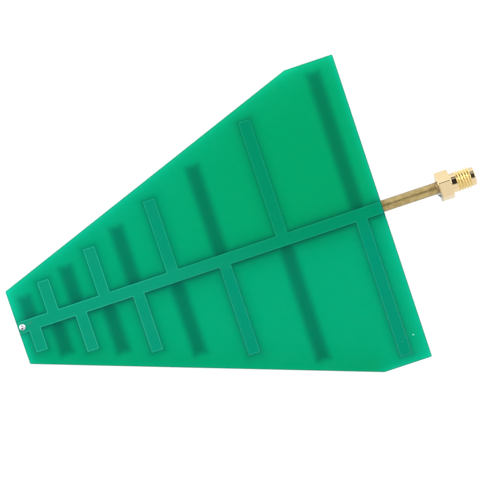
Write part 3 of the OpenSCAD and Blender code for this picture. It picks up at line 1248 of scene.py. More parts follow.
@dataclass(frozen=True)
class TubeFinish(MetalFinish):
    """Drawn copper tube, tarnished in patches, with painted shade towards its sides, a painted dark
    reflection along its upper side, and darker patches at its ends.
    """

    # Place of the axis across and up, and of the jack's and the board's edge along X
    axis: Flat = (0.0, 0.0)
    jack_at: float = 0.0
    board_at: float = 0.0
    # The painted dark reflection along the upper side: its angle and half width in degrees, the share that is
    # solid, and how far it wanders
    dark_reflection_and_shade: Colour = (0.16, 0.1, 0.025)
    reflection_turn: float = 8.0
    reflection_half: float = 9.0
    reflection_core: float = 0.3
    reflection_depth: float = 0.42
    wander: float = 10.0
    wander_size: float = 2.5
    # Painted shade: the tube darkens towards its sides, between these angles from the top
    flank_shade: Colour = (0.36, 0.3, 0.17)
    flank_shade_turn: Span = (36.0, 72.0)
    flank_shade_depth: float = 0.65
    # Darker patches beside the jack and the board: painted shadow by the board, and by the jack flux stain
    # and painted shade
    end_dark_run: Span = (0.2, 1.2)
    end_dark_patches: Patches = Patches(0.7, gives=(0.1, 0.5))
    pitch: float = 4.0

    def turn(self, graph: Graph, point: Socket) -> Socket:
        """Finds the angle around the tube.

        Args:
            graph: Tree of the material.
            point: Place on the surface.

        Returns:
            The angle in degrees, from straight up towards +Y.
        """
        _, y, z = graph.parts(point)
        across, height = self.axis
        return graph.turn(graph.math("SUBTRACT", y, across), graph.math("SUBTRACT", z, height))

    def marks(self, graph: Graph, point: Socket) -> Socket:
        """Lines along the tube."""
        return graph.effect(ToolMarks(), Along=self.turn(graph, point), Pitch=self.pitch)["Height"]

    def stain(self, graph: Graph, point: Socket, colour: Socket) -> Socket:
        """Paints shade towards the tube's sides, the dark reflection along the top, and the darker patches
        beside the jack and the board.

        Args:
            graph: Tree of the material.
            point: Place on the surface.
            colour: Colour so far.

        Returns:
            The stained colour.
        """
        x, _, _ = graph.parts(point)
        turn = self.turn(graph, point)
        # Painted shade towards the sides of the tube
        flank_light_and_shade = graph.ramp(graph.math("ABSOLUTE", turn), *self.flank_shade_turn, high=self.flank_shade_depth)
        colour = graph.mix(flank_light_and_shade, colour, self.flank_shade)
        # Painted dark reflection along the upper side of the tube
        uneven = graph.math("SUBTRACT", graph.noise(point, self.wander_size), 0.5)
        wandered = graph.math("ADD", turn, graph.math("MULTIPLY", uneven, self.wander))
        off = graph.math("ABSOLUTE", graph.math("SUBTRACT", wandered, self.reflection_turn))
        core = self.reflection_half * self.reflection_core
        line = graph.ramp(off, core, self.reflection_half, low=self.reflection_depth, high=0.0)
        # Darker patches at both ends: painted shadow by the board, flux stain and painted shade by the jack
        patchy = graph.patches(point, self.end_dark_patches)
        for end in (self.jack_at, self.board_at):
            away = graph.math("ABSOLUTE", graph.math("SUBTRACT", x, end))
            near = graph.math("MULTIPLY", graph.ramp(away, *self.end_dark_run, low=1.0, high=0.0), patchy)
            line = graph.math("MAXIMUM", line, near)
        return graph.mix(line, colour, self.dark_reflection_and_shade)


@dataclass(frozen=True)
class DomeFinish(MetalFinish):
    """Bright solder with painted shade in its blow hole and a painted dark reflection arc on the side of +Y.
    """

    centre: Flat = (0.0, 0.0)
    # The painted shade in the blow hole ends between these shares of the hole's radius
    hole: Flat = (0.0, 0.0)
    hole_radius: float = 0.2
    hole_edge: Span = (0.75, 1.05)
    hole_shade: Colour = (0.012, 0.01, 0.013)
    # The painted dark reflection arc: its colour, radius, half width, the share of that which is solid, and
    # where it ends in degrees
    crease: Colour = (0.2, 0.19, 0.225)
    reflection_arc_at: float = 0.46
    reflection_arc_half: float = 0.2
    reflection_arc_core: float = 0.3
    reflection_arc_depth: float = 0.85
    reflection_arc_turn: Span = (45.0, 78.0)

    def stain(self, graph: Graph, point: Socket, colour: Socket) -> Socket:
        """Paints the dark reflection arc and the shade in the blow hole.

        Args:
            graph: Tree of the material.
            point: Place on the surface.
            colour: Colour so far.

        Returns:
            The stained colour.
        """
        flat = graph.vector("MULTIPLY", point, LAID_FLAT)
        spot = graph.vector("SUBTRACT", flat, (*self.centre, 0.0))
        x, y, _ = graph.parts(spot)
        # Painted dark reflection arc on the side of +Y
        off = graph.math("ABSOLUTE", graph.math("SUBTRACT", graph.vector("LENGTH", spot), self.reflection_arc_at))
        core = self.reflection_arc_half * self.reflection_arc_core
        line = graph.ramp(off, core, self.reflection_arc_half, low=self.reflection_arc_depth, high=0.0)
        turn = graph.math("ABSOLUTE", graph.turn(x, y))
        line = graph.math("MULTIPLY", line, graph.ramp(turn, *self.reflection_arc_turn, low=1.0, high=0.0))
        colour = graph.mix(line, colour, self.crease)
        # Painted shade in the blow hole
        away = graph.vector("DISTANCE", flat, (*self.hole, 0.0))
        start, end = (self.hole_radius * share for share in self.hole_edge)
        return graph.mix(graph.ramp(away, start, end, low=1.0, high=0.0), colour, self.hole_shade)


@dataclass(frozen=True)
class FluxedFinish(MetalFinish):
    """Solder painted dark and bluish as shade and browned by flux, with a painted highlight strip above the
    drop on its side towards -Y.
    """

    # Place of the axis across, and from there the ends of the drop and of the painted highlight strip
    axis: float = 0.0
    drop: Span = (-2.25, -2.0)
    border: Span = (-1.75, -1.4)
    wander: float = 0.6
    flux: Colour = (0.27, 0.18, 0.06)
    lit_colour: Colour = (0.62, 0.62, 0.6)
    patches: Patches = Patches(0.5, gives=(0.8, 1.0))

    def stain(self, graph: Graph, point: Socket, colour: Socket) -> Socket:
        """Paints a highlight strip next to the drop and browns the solder beyond the border, unevenly.

        Args:
            graph: Tree of the material.
            point: Place on the surface.
            colour: Colour so far.

        Returns:
            The stained colour.
        """
        _, y, _ = graph.parts(point)
        uneven = graph.noise(point, self.patches.size, self.patches.detail)
        across = graph.math("SUBTRACT", y, self.axis + self.wander / 2)
        across = graph.math("MULTIPLY_ADD", uneven, self.wander, across)
        # Painted highlight: a light grey strip above the drop
        colour = graph.mix(graph.ramp(across, *self.drop), colour, self.lit_colour)
        brown = graph.ramp(across, *self.border)
        return graph.mix(graph.math("MULTIPLY", brown, graph.patches(point, self.patches)), colour, self.flux)


@dataclass(frozen=True)
class PlasticFinish(Finish):
    """White fluoropolymer, slightly waxy and cut with a blade."""

    clean: Colour = (0.86, 0.86, 0.83)
    handled: Colour = (0.68, 0.66, 0.58)
    handled_size: float = 1.6
    handled_amount: float = 0.5
    grain: float = 0.1
    gloss: Span = (0.35, 0.5)
    depth: float = 0.006

    def paint(self, graph: Graph, shader: bpy.types.Node, point: Socket) -> None:
        """Yellows the plastic a little in patches.

        Args:
            graph: Tree of the material.
            shader: Its shader.
            point: Place on the surface.
        """
        size, amount = self.handled_size, self.handled_amount
        spots = graph.effect(Tarnish(), Point=point, Size=size, Amount=amount)["Mask"]
        low, high = self.gloss
        grain = graph.effect(Grain(), Point=point, Size=self.grain, Gloss_Low=low, Gloss_High=high)
        graph.plug(graph.mix(spots, self.clean, self.handled), shader.inputs["Base Color"])
        graph.plug(grain["Roughness"], shader.inputs["Roughness"])
        self.bump(graph, shader, grain["Height"], self.depth)


GOLD = TurnedFinish(
    "gold_plated_brass", bright=(0.99, 0.79, 0.47), dull=(0.86, 0.6, 0.28), gloss=(0.07, 0.13),
    tarnish=0.22, depth=0.001,
)
FOIL = MetalFinish(
    "etched_foil", bright=(0.78, 0.44, 0.25), dull=(0.36, 0.2, 0.1), gloss=(0.3, 0.45),
    tarnish=0.8, tarnish_size=3.0,
)
SOLDER = MetalFinish(
    "dull_solder", bright=(0.62, 0.63, 0.66), dull=(0.36, 0.38, 0.42), gloss=(0.4, 0.55),
    metallic=0.6, tarnish=0.6,
)
WIRE = MetalFinish("plated_wire", bright=(0.82, 0.78, 0.68), dull=(0.5, 0.38, 0.22), gloss=(0.2, 0.32))
PTFE = PlasticFinish("white_fluoropolymer")
LAMINATE = LaminateFinish("routed_laminate")


@dataclass
class Board:
    """The laminate core, the foil on both faces and the mask films over them."""

    # The film's slope at the foil's edge: how far it lies outside and inside it, and how much it is eased
    slope_out: float = 0.26 * MM
    slope_in: float = 0.19 * MM
    slope_ease: float = 0.25
    slope_steps: int = 8
    mask_lap: float = 0.3 * MM
    feed_pad_r: float = 0.86 * MM
    feed_hole_r: float = 0.55 * MM
    hole_steps: int = 48
    # The back foil's shade on the front face lies this far off its arms, in millimetres
    lean: float = 0.2
    # Dust on the front: place from the part's origin and radius, in millimetres
    specks: tuple[tuple[float, float, float], ...] = ((39.64, -39.48, 0.3), (35.9, -40.46, 0.1))
    # Flux smeared beside the feed point: place and half sizes, in millimetres
    smudges: tuple[tuple[float, float, float, float], ...] = ((-68.25, 0.25, 1.5, 1.0),)

    def __post_init__(self) -> None:
        """Reads the combs, the outline and the films' heights from the frame."""
        self.front = Comb.from_node("front_copper")
        self.back = Comb.from_node("back_copper")
        self.low, self.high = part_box("substrate")
        foil_low, foil_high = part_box("front_copper")
        self.foil = foil_high.z - foil_low.z
        self.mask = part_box("front_solder_mask")[1].z - foil_high.z
        points = [v.co.to_2d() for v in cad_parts["substrate"].data.vertices]
        self.outline = [tuple(points[k]) for k in convex_hull_2d(points)]
        dome_low, dome_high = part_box("feed_solder")
        self.feed = tuple((dome_low + dome_high).to_2d() / 2)
        self.axis = (self.back.boom.y0 + self.back.boom.y1) / 2

    def finish(self, face: Face) -> MaskFinish:
        """Finish of the mask on one face, with the other face's foil showing through.

        Args:
            face: The face.

        Returns:
            The finish.
        """
        front = CombDistance("front_foil_distance", self.front)
        back = CombDistance("back_foil_distance", self.back)
        edges = EdgeLight(self.outline)
        if face is Face.FRONT:
            return MaskFinish(
                "solder_mask_front", front, back, edges, self.specks, self.smudges, lean=self.lean
            )
        return MaskFinish("solder_mask_back", back, front, edges)

    def level(self, face: Face, points: Iterable[Flat], height: float) -> list[Place]:
        """Lifts flat points to a height over one face of the core."""
        base = self.high.z if face is Face.FRONT else self.low.z
        return [(x, y, base + face.value * height) for x, y in points]

    def slopes(self, comb: Comb) -> list[tuple[list[Flat], float]]:
        """Steps of the film's slope from beside the foil up onto it.

        Args:
            comb: The foil's comb.

        Returns:
            The outline and the height of each step.
        """
        made = []
        for k in range(self.slope_steps + 1):
            share = k / self.slope_steps
            grow = self.slope_out + (-self.slope_in - self.slope_out) * share
            rise = (1.0 - self.slope_ease) * share + self.slope_ease * smooth_step(share)
            made.append((comb.outline(grow), self.mask + self.foil * rise))
        return made

    def front_mask(self) -> None:
        """Builds the front film: flat on the core, sloped at the foil's edges and open at the feed pad."""
        draft, face = MeshDraft(), Face.FRONT
        rows = [draft.add(self.level(face, outline, height)) for outline, height in self.slopes(self.front)]
        pad = circle(self.feed, self.feed_pad_r, self.hole_steps)
        rim_top = draft.add(self.level(face, self.outline, self.mask))
        rim_low = draft.add(self.level(face, self.outline, 0.0))
        pad_top = draft.add(self.level(face, pad, self.foil + self.mask))
        pad_low = draft.add(self.level(face, pad, self.foil))
        foot_low = draft.add(self.level(face, self.front.outline(), 0.0))
        foot_top = draft.add(self.level(face, self.front.outline(), self.foil))
        draft.cap([rim_top, rows[0]])
        for first, second in zip(rows, rows[1:]):
            draft.band(first, second)
        draft.cap([rows[-1], pad_top])
        draft.band(pad_top, pad_low)
        draft.cap([foot_top, pad_low])
        draft.band(foot_top, foot_low, smooth=False)
        draft.cap([rim_low, foot_low])
        draft.band(rim_low, rim_top, smooth=False)
        draft.piece("front_mask_film", self.finish(face), Slot.SOLDER_MASK, "front_solder_mask")

    def opened(self, outline: Sequence[Flat], half: float) -> list[Flat]:
        """Cuts an outline open where its last side crosses the solder strip.

        Args:
            outline: Outline around the boom, anticlockwise.
            half: Half the width of the strip.

        Returns:
            Its points from the strip's upper side round to its lower side.
        """
        end = max(x for x, _ in outline)
        first = next(k for k, (x, y) in enumerate(outline) if end - x < TINY and y > self.axis)
        turned = [*outline[first:], *outline[:first]]
        return [(end, self.axis + half), *turned, (end, self.axis - half)]

    def back_mask(self) -> None:
        """Builds the back film, which is open along the strip that the cable is soldered to."""
        draft, face = MeshDraft(), Face.BACK
        half = self.back.boom.y1 - self.axis - self.mask_lap
        start = self.back.boom.x0 + self.mask_lap
        inner = [(start, self.axis + half), (start, self.axis - half)]
        slopes = [(self.opened(outline, half), height) for outline, height in self.slopes(self.back)]
        rows = [draft.add(self.level(face, outline, height)) for outline, height in slopes]
        rim = self.opened(self.outline, half)
        foot = self.opened(self.back.outline(), half)
        hole = circle(self.feed, self.feed_hole_r, self.hole_steps)
        rim_top = draft.add(self.level(face, rim, self.mask))
        rim_low = draft.add(self.level(face, rim, 0.0))
        hole_top = draft.add(self.level(face, hole, self.mask))
        hole_low = draft.add(self.level(face, hole, 0.0))
        foot_low = draft.add(self.level(face, foot, 0.0))
        foot_top = draft.add(self.level(face, foot, self.foil))
        inner_top = draft.add(self.level(face, inner, self.foil + self.mask))
        inner_low = draft.add(self.level(face, inner, self.foil))
        draft.cap([[*rim_top, *reversed(rows[0])], hole_top])
        for first, second in zip(rows, rows[1:]):
            draft.band(first, second, closed=False)
        draft.cap([[*rows[-1], *reversed(inner_top)]])
        draft.cap([[*foot_top, *reversed(inner_low)]])
        draft.band(foot_top, foot_low, closed=False, smooth=False)
        draft.cap([[*rim_low, *reversed(foot_low)], hole_low])
        draft.band(rim_low, rim_top, closed=False, smooth=False)
        draft.band(hole_top, hole_low)
        for side in (0, -1):
            climb = [row[side] for row in rows]
            under = [row[side] for row in (inner_top, inner_low, foot_top, foot_low, rim_low)]
            draft.face([rim_top[side], *climb, *under])
        draft.face([inner_top[0], inner_top[1], inner_low[1], inner_low[0]])
        draft.piece("back_mask_film", self.finish(face), Slot.SOLDER_MASK, "back_solder_mask")

    def build(self) -> None:
        """Builds the films and dresses the core and the foil."""
        dress("substrate", LAMINATE)
        dress("front_copper", FOIL)
        dress("back_copper", FOIL)
        self.front_mask()
        self.back_mask()


@dataclass
class FeedPoint:
    """The solder dome over the end of the centre wire."""

    rings: int = 22
    spokes: int = 72
    # The dome's height as a share of the solid's, how full it is, and how soon lip and lumps end at its foot
    crown: float = 0.93
    fullness: float = 0.62
    foot_power: int = 6
    # The blow hole: its place from the centre, and its wall as a share of its radius
    hole_inset: float = 0.42 * MM
    hole_turn: float = -107.0
    hole_r: float = 0.33 * MM
    hole_depth: float = 0.2 * MM
    wall_at: float = 0.72
    wall_power: int = 4
    # The lip around the hole: its height, and its place and half width as shares of the hole's radius
    lip: float = 0.035 * MM
    lip_at: float = 1.15
    lip_half: float = 0.3
    lumps: float = 0.018 * MM
    lump_size: float = 0.5 * MM
    lump_seed: float = 3.0
    crease: float = 50.0

    def __post_init__(self) -> None:
        """Reads the dome's place and size from the frame."""
        low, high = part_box("feed_solder")
        self.centre = (low + high) / 2
        self.base = low.z
        self.rise = high.z - low.z
        self.radius = (high.x - low.x) / 2
        turn = math.radians(self.hole_turn)
        self.hole = (
            self.centre.x + self.hole_inset * math.cos(turn),
            self.centre.y + self.hole_inset * math.sin(turn),
        )

    def height(self, x: float, y: float) -> float:
        """Height of the dome over the foil.

        Args:
            x: Place along the board.
            y: Place across the board.

        Returns:
            The height, with the blow hole, its lip and the solder's lumps.
        """
        share = min(1.0, math.dist((x, y), self.centre.to_2d()) / self.radius)
        dome = self.rise * self.crown * (1.0 - share * share) ** self.fullness
        away = math.dist((x, y), self.hole) / self.hole_r
        pit = self.hole_depth * math.exp(-((away / self.wall_at) ** self.wall_power))
        lip = self.lip * math.exp(-(((away - self.lip_at) / self.lip_half) ** 2))
        lump = self.lumps * rough((x, y, 0.0), self.lump_size, self.lump_seed)
        return max(0.0, dome + (lip + lump) * (1.0 - share**self.foot_power) - pit)

    def build(self) -> None:
        """Builds the dome as rings around its top, closed by its foot on the foil."""
        draft = MeshDraft()
        x, y, _ = self.centre
        rows = []
        for ring in range(1, self.rings + 1):
            reach = self.radius * math.sin(math.pi / 2 * ring / self.rings)
            spots = circle((x, y), reach, self.spokes)
            rows.append(draft.add((*spot, self.base + self.height(*spot)) for spot in spots))
        top = draft.add([(x, y, self.base + self.height(x, y))])
        draft.fan(top[0], rows[0])
        for first, second in zip(rows, rows[1:]):
            draft.band(first, second)
        draft.cap([rows[-1]])
        solder = DomeFinish(
            "feed_solder_dome", bright=(0.86, 0.87, 0.92), dull=(0.42, 0.45, 0.5), gloss=(0.3, 0.42),
            metallic=0.35, tarnish=0.3, centre=(x / MM, y / MM),
            hole=(self.hole[0] / MM, self.hole[1] / MM), hole_radius=self.hole_r / MM,
        )
        draft.piece("feed_dome", solder, Slot.SOLDER, "feed_solder", crease=self.crease)


@dataclass
class CableRun:
    """The rigid coaxial cable and the solder tacks that hold it to the back foil."""

    tacks: int = 5
    tack_length: float = 7.0 * MM
    tack_steps: int = 28
    # How far the solder climbs round the cable in degrees, where its section starts, and how hollow it is
    climb: float = 62.0
    root: float = 0.54 * MM
    hollow: float = 0.62
    curve_steps: int = 8
    seat_steps: int = 4
    # How the tacks run out at their ends, and how unevenly
    end_power: int = 4
    least_fill: float = 0.02
    wobble: float = 0.16
    wobble_size: float = 1.4 * MM
    wobble_seed: float = 5.0
    crease: float = 40.0

    def __post_init__(self) -> None:
        """Reads the cable's axis, its radius and the tacks' reach from the frame."""
        low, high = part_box("cable_jacket")
        self.axis = (low + high) / 2
        self.radius = (high.z - low.z) / 2
        self.tack_low, self.tack_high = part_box("cable_solder_tacks")
        self.jack_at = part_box("jack_body")[0].x
        self.board_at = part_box("substrate")[1].x

    def section(self, fill: float) -> list[Vector]:
        """Section of the solder in the groove between cable and foil, with its face hollow.

        Args:
            fill: How full the groove is, from 0 to 1.

        Returns:
            Points across and up from the cable's axis.
        """
        pad = self.tack_high.z - self.axis.z
        foot = self.root + (self.tack_high.y - self.axis.y - self.root) * fill
        start = math.asin(self.root / self.radius)
        top = start + (math.radians(self.climb) - start) * fill
        touch = Vector((self.radius * math.sin(top), self.radius * math.cos(top)))
        land = Vector((foot, pad))
        corner = Vector((max(touch.x, self.root), pad))
        groove = corner * self.hollow + (touch + land) * ((1.0 - self.hollow) / 2)
        face = []
        for k in range(self.curve_steps + 1):
            t = k / self.curve_steps
            face.append(touch * (1 - t) ** 2 + groove * 2 * t * (1 - t) + land * t * t)
        under = [start + (top - start) * k / self.seat_steps for k in range(self.seat_steps)]
        seat = [Vector((self.radius * math.sin(a), self.radius * math.cos(a))) for a in under]
        return [*face, Vector((self.root, pad)), *seat]

    def tack(self, draft: MeshDraft, middle: float, side: int) -> None:
        """Adds one tack, which runs out unevenly at both ends.

        Args:
            draft: Mesh that it goes into.
            middle: Its place along the cable.
            side: 1 or -1, the side of the cable.
        """
        rows = []
        for k in range(self.tack_steps + 1):
            share = 2 * k / self.tack_steps - 1
            x = middle + share * self.tack_length / 2
            wobble = 1.0 + self.wobble * rough((x, side * MM, 0.0), self.wobble_size, self.wobble_seed)
            fill = min(1.0, max(self.least_fill, (1.0 - share**self.end_power) * wobble))
            section = self.section(fill)
            rows.append(draft.add((x, self.axis.y + side * y, self.axis.z + z) for y, z in section))
        for first, second in zip(rows, rows[1:]):
            draft.band(first, second)
        draft.face(rows[0])
        draft.face(rows[-1])

    def build(self) -> None:
        """Builds the tacks and dresses the cable."""
        tube = TubeFinish(
            "drawn_copper_tube", bright=(0.64, 0.49, 0.215), dull=(0.39, 0.28, 0.095), gloss=(0.36, 0.52),
            metallic=0.75, tarnish=0.75, tarnish_size=1.8, axis=(self.axis.y / MM, self.axis.z / MM),
            jack_at=self.jack_at / MM, board_at=self.board_at / MM,
        )
        dress("cable_jacket", tube)
        dress("cable_dielectric", PTFE)
        dress("centre_wire", WIRE)
        draft = MeshDraft()
        first = self.tack_low.x + self.tack_length / 2
        last = self.tack_high.x - self.tack_length / 2
        for k in range(self.tacks):
            for side in (1, -1):
                self.tack(draft, first + (last - first) * k / (self.tacks - 1), side)
        draft.piece("cable_tacks", SOLDER, Slot.SOLDER, "cable_solder_tacks", crease=self.crease)


@dataclass
class Jack:
    """The turned jack with its thread, its insulator and contact, and the solder at its rear."""

    # The hexagon, with one corner turned this far from straight up, in degrees
    hex_turn: float = 17.0
    hex_length: float = 4.0 * MM
    hex_af: float = 8.0 * MM
    hex_chamfer: float = 0.35 * MM
    hex_round: float = 0.26 * MM
    flat_steps: int = 16
    corner_steps: int = 8
    neck_r: float = 2.95 * MM
    neck_length: float = 1.8 * MM
    neck_fillet: float = 0.22 * MM
    # The thread, with its depth as a share of the pitch
    thread_r: float = 3.175 * MM
    thread_length: float = 4.3 * MM
    thread_chamfer: float = 0.2 * MM
    pitch: float = 0.84 * MM
    thread_depth: float = 0.66
    # Place within one turn of the helix and share of the depth below the crest
    profile: tuple[Flat, ...] = (
        (0.0, 0.0), (0.05, 0.02), (0.1, 0.1), (0.27, 0.52), (0.44, 0.94), (0.49, 0.99),
        (0.53, 1.0), (0.57, 0.99), (0.62, 0.94), (0.79, 0.52), (0.95, 0.06),
    )
    pilot_r: float = 2.75 * MM
    mouth_chamfer: float = 0.2 * MM
    socket_r: float = 2.31 * MM
    socket_depth: float = 1.9 * MM
    slip: float = 0.01 * MM
    cable_depth: float = 3.0 * MM
    crease: float = 28.0
    # The solder at the rear: its reach, how much more it has towards -Y, its length along the cable as a
    # share of the reach, how much longer it is there, and how its hollow section runs
    fillet: float = 0.55 * MM
    fillet_more: float = 0.276 * MM
    fillet_back: float = 0.86
    fillet_longer: float = 0.1
    back_power: float = 1.5
    out_power: float = 1.7
    fillet_belly: float = 0.44
    belly_back: float = 0.3
    belly_out: float = 0.2
    fillet_lumps: float = 0.09 * MM
    lump_size: float = 0.6
    lump_seed: float = 9.0
    fillet_spokes: int = 96
    fillet_curve: int = 8
    fillet_crease: float = 45.0
    # The drop that hangs from it: its length, half angle in radians, spread as a share of its length, belly
    drop: float = 0.34 * MM
    drop_half: float = 0.4
    drop_spread: float = 1.3
    drop_belly: float = 3.0

    def __post_init__(self) -> None:
        """Reads the jack's axis and bores from the frame and works out its heights along the axis."""
        low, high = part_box("jack_body")
        self.rear = low.x
        self.length = high.x - low.x
        cable_low, cable_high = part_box("cable_jacket")
        self.axis = (cable_low + cable_high) / 2
        self.cable_r = (cable_high.z - cable_low.z) / 2
        bead_low, bead_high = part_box("jack_insulator")
        self.bead_r = (bead_high.z - bead_low.z) / 2
        self.sector = math.pi / 3
        self.first_corner = math.radians(90.0 - self.hex_turn)
        self.apothem = self.hex_af / 2
        self.hex_r = self.apothem / math.cos(self.sector / 2)
        self.round_at = (self.apothem - self.hex_round) / math.cos(self.sector / 2)
        self.thread_start = self.hex_length + self.neck_length
        self.pilot_start = self.thread_start + self.thread_length
        self.mating = self.length - self.socket_depth

    def place(self, turn: float, along: float, radius: float) -> Place:
        """Point at an angle, a distance from the jack's rear and a radius."""
        across, up = radius * math.cos(turn), radius * math.sin(turn)
        return self.rear + along, self.axis.y + across, self.axis.z + up

    def turns(self) -> list[float]:
        """Angles of the mesh around the axis.

        Returns:
            The angles, closer together at the hexagon's corners; the last one closes the circle.
        """
        edge = math.atan2(self.hex_round / 2, self.round_at + self.hex_round * math.cos(self.sector / 2))
        span = self.sector - 2 * edge
        made = []
        for corner in range(6):
            at = self.first_corner + corner * self.sector
            made += [at - edge + 2 * edge * k / self.corner_steps for k in range(self.corner_steps)]
            made += [at + edge + span * k / self.flat_steps for k in range(self.flat_steps)]
        return [*made, made[0] + 2 * math.pi]

    def hex_radius(self, turn: float) -> float:
        """Radius of the hexagon with its corners slightly rounded.

        Args:
            turn: Angle around the axis.

        Returns:
            The radius there.
        """
        off = (turn - self.first_corner + self.sector / 2) % self.sector - self.sector / 2
        spare = self.hex_round**2 - (self.round_at * math.sin(off)) ** 2
        flat = self.apothem / math.cos(self.sector / 2 - abs(off))
        if spare <= 0.0:
            return flat
        return min(flat, self.round_at * math.cos(off) + math.sqrt(spare))

    def hex_rows(self) -> list[Row]:
        """Rows of the hexagon.

        Returns:
            The rows; each gives the place along the axis and the radius for an angle.
        """
        reach = self.hex_r - self.hex_chamfer
        end = self.hex_length

        def cut(turn: float) -> float:
            """Depth of the chamfer at this angle."""
            return max(0.0, self.hex_radius(turn) - reach)

        return [
            lambda turn: (0.0, min(self.hex_radius(turn), reach)),
            lambda turn: (cut(turn), self.hex_radius(turn)),
            lambda turn: (end - cut(turn), self.hex_radius(turn)),
            lambda turn: (end, min(self.hex_radius(turn), reach)),
        ]

    def groove(self, share: float) -> float:
        """Depth of the thread below its crest.

        Args:
            share: Place along the helix, in turns of it.

        Returns:
            The depth there, taken from the profile.
        """
        left = share - math.floor(share + TINY)
        spots = [*self.profile, (1.0, self.profile[0][1])]
        for (first, high), (second, low) in zip(spots, spots[1:]):
            if left <= second:
                part = (left - first) / (second - first)
                return self.thread_depth * self.pitch * (high + (low - high) * part)
        return 0.0

    def thread_rows(self) -> list[Row]:
        """Rows that follow the thread's helix, with narrow crests, hollow roots and chamfered ends.

        Returns:
            The rows from the neck to the pilot.
        """
        count = math.ceil(self.thread_length / self.pitch) + 1
        begin, end = self.thread_start, self.pilot_start

        def row(lap: int, share: float) -> Row:
            """One row of the helix.

            Args:
                lap: The turn of the thread that the row belongs to.
                share: The row's place within that turn, from 0 to 1.

            Returns:
                The row, which gives its place along the axis and its radius by angle.
            """

            def at(turn: float) -> Flat:
                """Place and radius of the row at this angle; rows past the ends meet there."""
                lead = (turn - self.first_corner) / (2 * math.pi)
                along = min(end, max(begin, begin + self.pitch * (lap + share + lead)))
                limit = self.thread_r - self.thread_chamfer + min(along - begin, end - along)
                return along, min(self.thread_r - self.groove((along - begin) / self.pitch - lead), limit)

            return at

        return [row(lap, share) for lap in range(-1, count) for share, _ in self.profile]

    def neck_rows(self) -> list[Flat]:
        """Rows of the neck, with the tool's radius left against the hexagon.

        Returns:
            Their places along the axis and radii.
        """
        made = []
        for k in range(self.fillet_curve + 1):
            turn = math.pi / 2 * k / self.fillet_curve
            along = self.hex_length + self.neck_fillet * (1 - math.cos(turn))
            made.append((along, self.neck_r + self.neck_fillet * (1 - math.sin(turn))))
        return [*made, (self.thread_start, self.neck_r)]

    def body(self) -> None:
        """Builds the turned body as rings around the axis, outside and inside."""
        bore, bead = self.cable_r + self.slip, self.bead_r + self.slip

        def ring(along: float, radius: float) -> Row:
            """A plain round row."""
            return lambda turn: (along, radius)

        rows = [ring(0.0, bore), *self.hex_rows()]
        rows += [ring(*spot) for spot in self.neck_rows()]
        rows += self.thread_rows()
        rows += [ring(self.pilot_start, self.pilot_r), ring(self.length - self.mouth_chamfer, self.pilot_r)]
        rows += [ring(self.length, self.pilot_r - self.mouth_chamfer), ring(self.length, self.socket_r)]
        rows += [ring(self.mating, self.socket_r), ring(self.mating, bead)]
        rows += [ring(self.cable_depth, bead), ring(self.cable_depth, bore), ring(0.0, bore)]
        draft = MeshDraft()
        turns = self.turns()
        made = [draft.add(self.place(turn, *row(turn)) for turn in turns) for row in rows]
        for first, second in zip(made, made[1:]):
            draft.band(first, second, closed=False)
        thread = ((self.rear + self.thread_start) / MM, (self.rear + self.pilot_start) / MM)
        gold = ThreadFinish(
            "gold_plated_shell", GOLD.bright, GOLD.dull, GOLD.gloss, tarnish=GOLD.tarnish, depth=GOLD.depth,
            axis=(self.axis.y / MM, self.axis.z / MM), rear=self.rear / MM, thread=thread,
        )
        draft.piece("jack_shell", gold, Slot.JACK_PLATING, "jack_body", crease=self.crease)

    def solder_section(self, turn: float) -> list[Flat]:
        """Section of the solder at the rear, hollow but for the drop.

        Args:
            turn: Angle around the axis.

        Returns:
            Places along the axis and radii.
        """
        inner = self.cable_r + self.slip
        around = (math.cos(turn), math.sin(turn), 0.0)
        lump = self.fillet_lumps * rough(around, self.lump_size, self.lump_seed)
        hang = math.exp(-(((turn - math.pi) / self.drop_half) ** 2))
        drop = self.drop * hang
        out = self.fillet - self.fillet_more * math.cos(turn) + lump + drop * self.drop_spread
        back = self.fillet * (self.fillet_back - self.fillet_longer * math.cos(turn)) + lump + drop
        made = []
        for k in range(self.fillet_curve + 1):
            t = k / self.fillet_curve
            belly = (self.fillet_belly + self.drop_belly * hang) * t * (1 - t)
            along = -back * ((1 - t) ** self.back_power + belly * self.belly_back)
            made.append((along, inner + out * (t**self.out_power + belly * self.belly_out)))
        return [*made, (0.0, inner)]

    def rear_solder(self) -> None:
        """Builds the ring of solder at the rear, fuller towards -Y."""
        draft = MeshDraft()
        rows = []
        for spoke in range(self.fillet_spokes):
            turn = 2 * math.pi * spoke / self.fillet_spokes
            rows.append(draft.add(self.place(turn, *spot) for spot in self.solder_section(turn)))
        for first, second in zip(rows, [*rows[1:], rows[0]]):
            draft.band(first, second)
        # Painted shade: the solder's colours are dark and bluish
        fluxed = FluxedFinish(
            "fluxed_solder", bright=(0.2, 0.225, 0.28), dull=(0.1, 0.115, 0.15), gloss=(0.4, 0.6),
            metallic=0.7, tarnish=0.8, axis=self.axis.y / MM,
        )
        draft.piece("rear_solder_ring", fluxed, Slot.SOLDER, "rear_solder_fillet", crease=self.fillet_crease)

    def build(self) -> None:
        """Builds the body and its solder and dresses what sits inside."""
        self.body()
        self.rear_solder()
        dress("jack_insulator", PTFE)
        dress("jack_contact", GOLD)


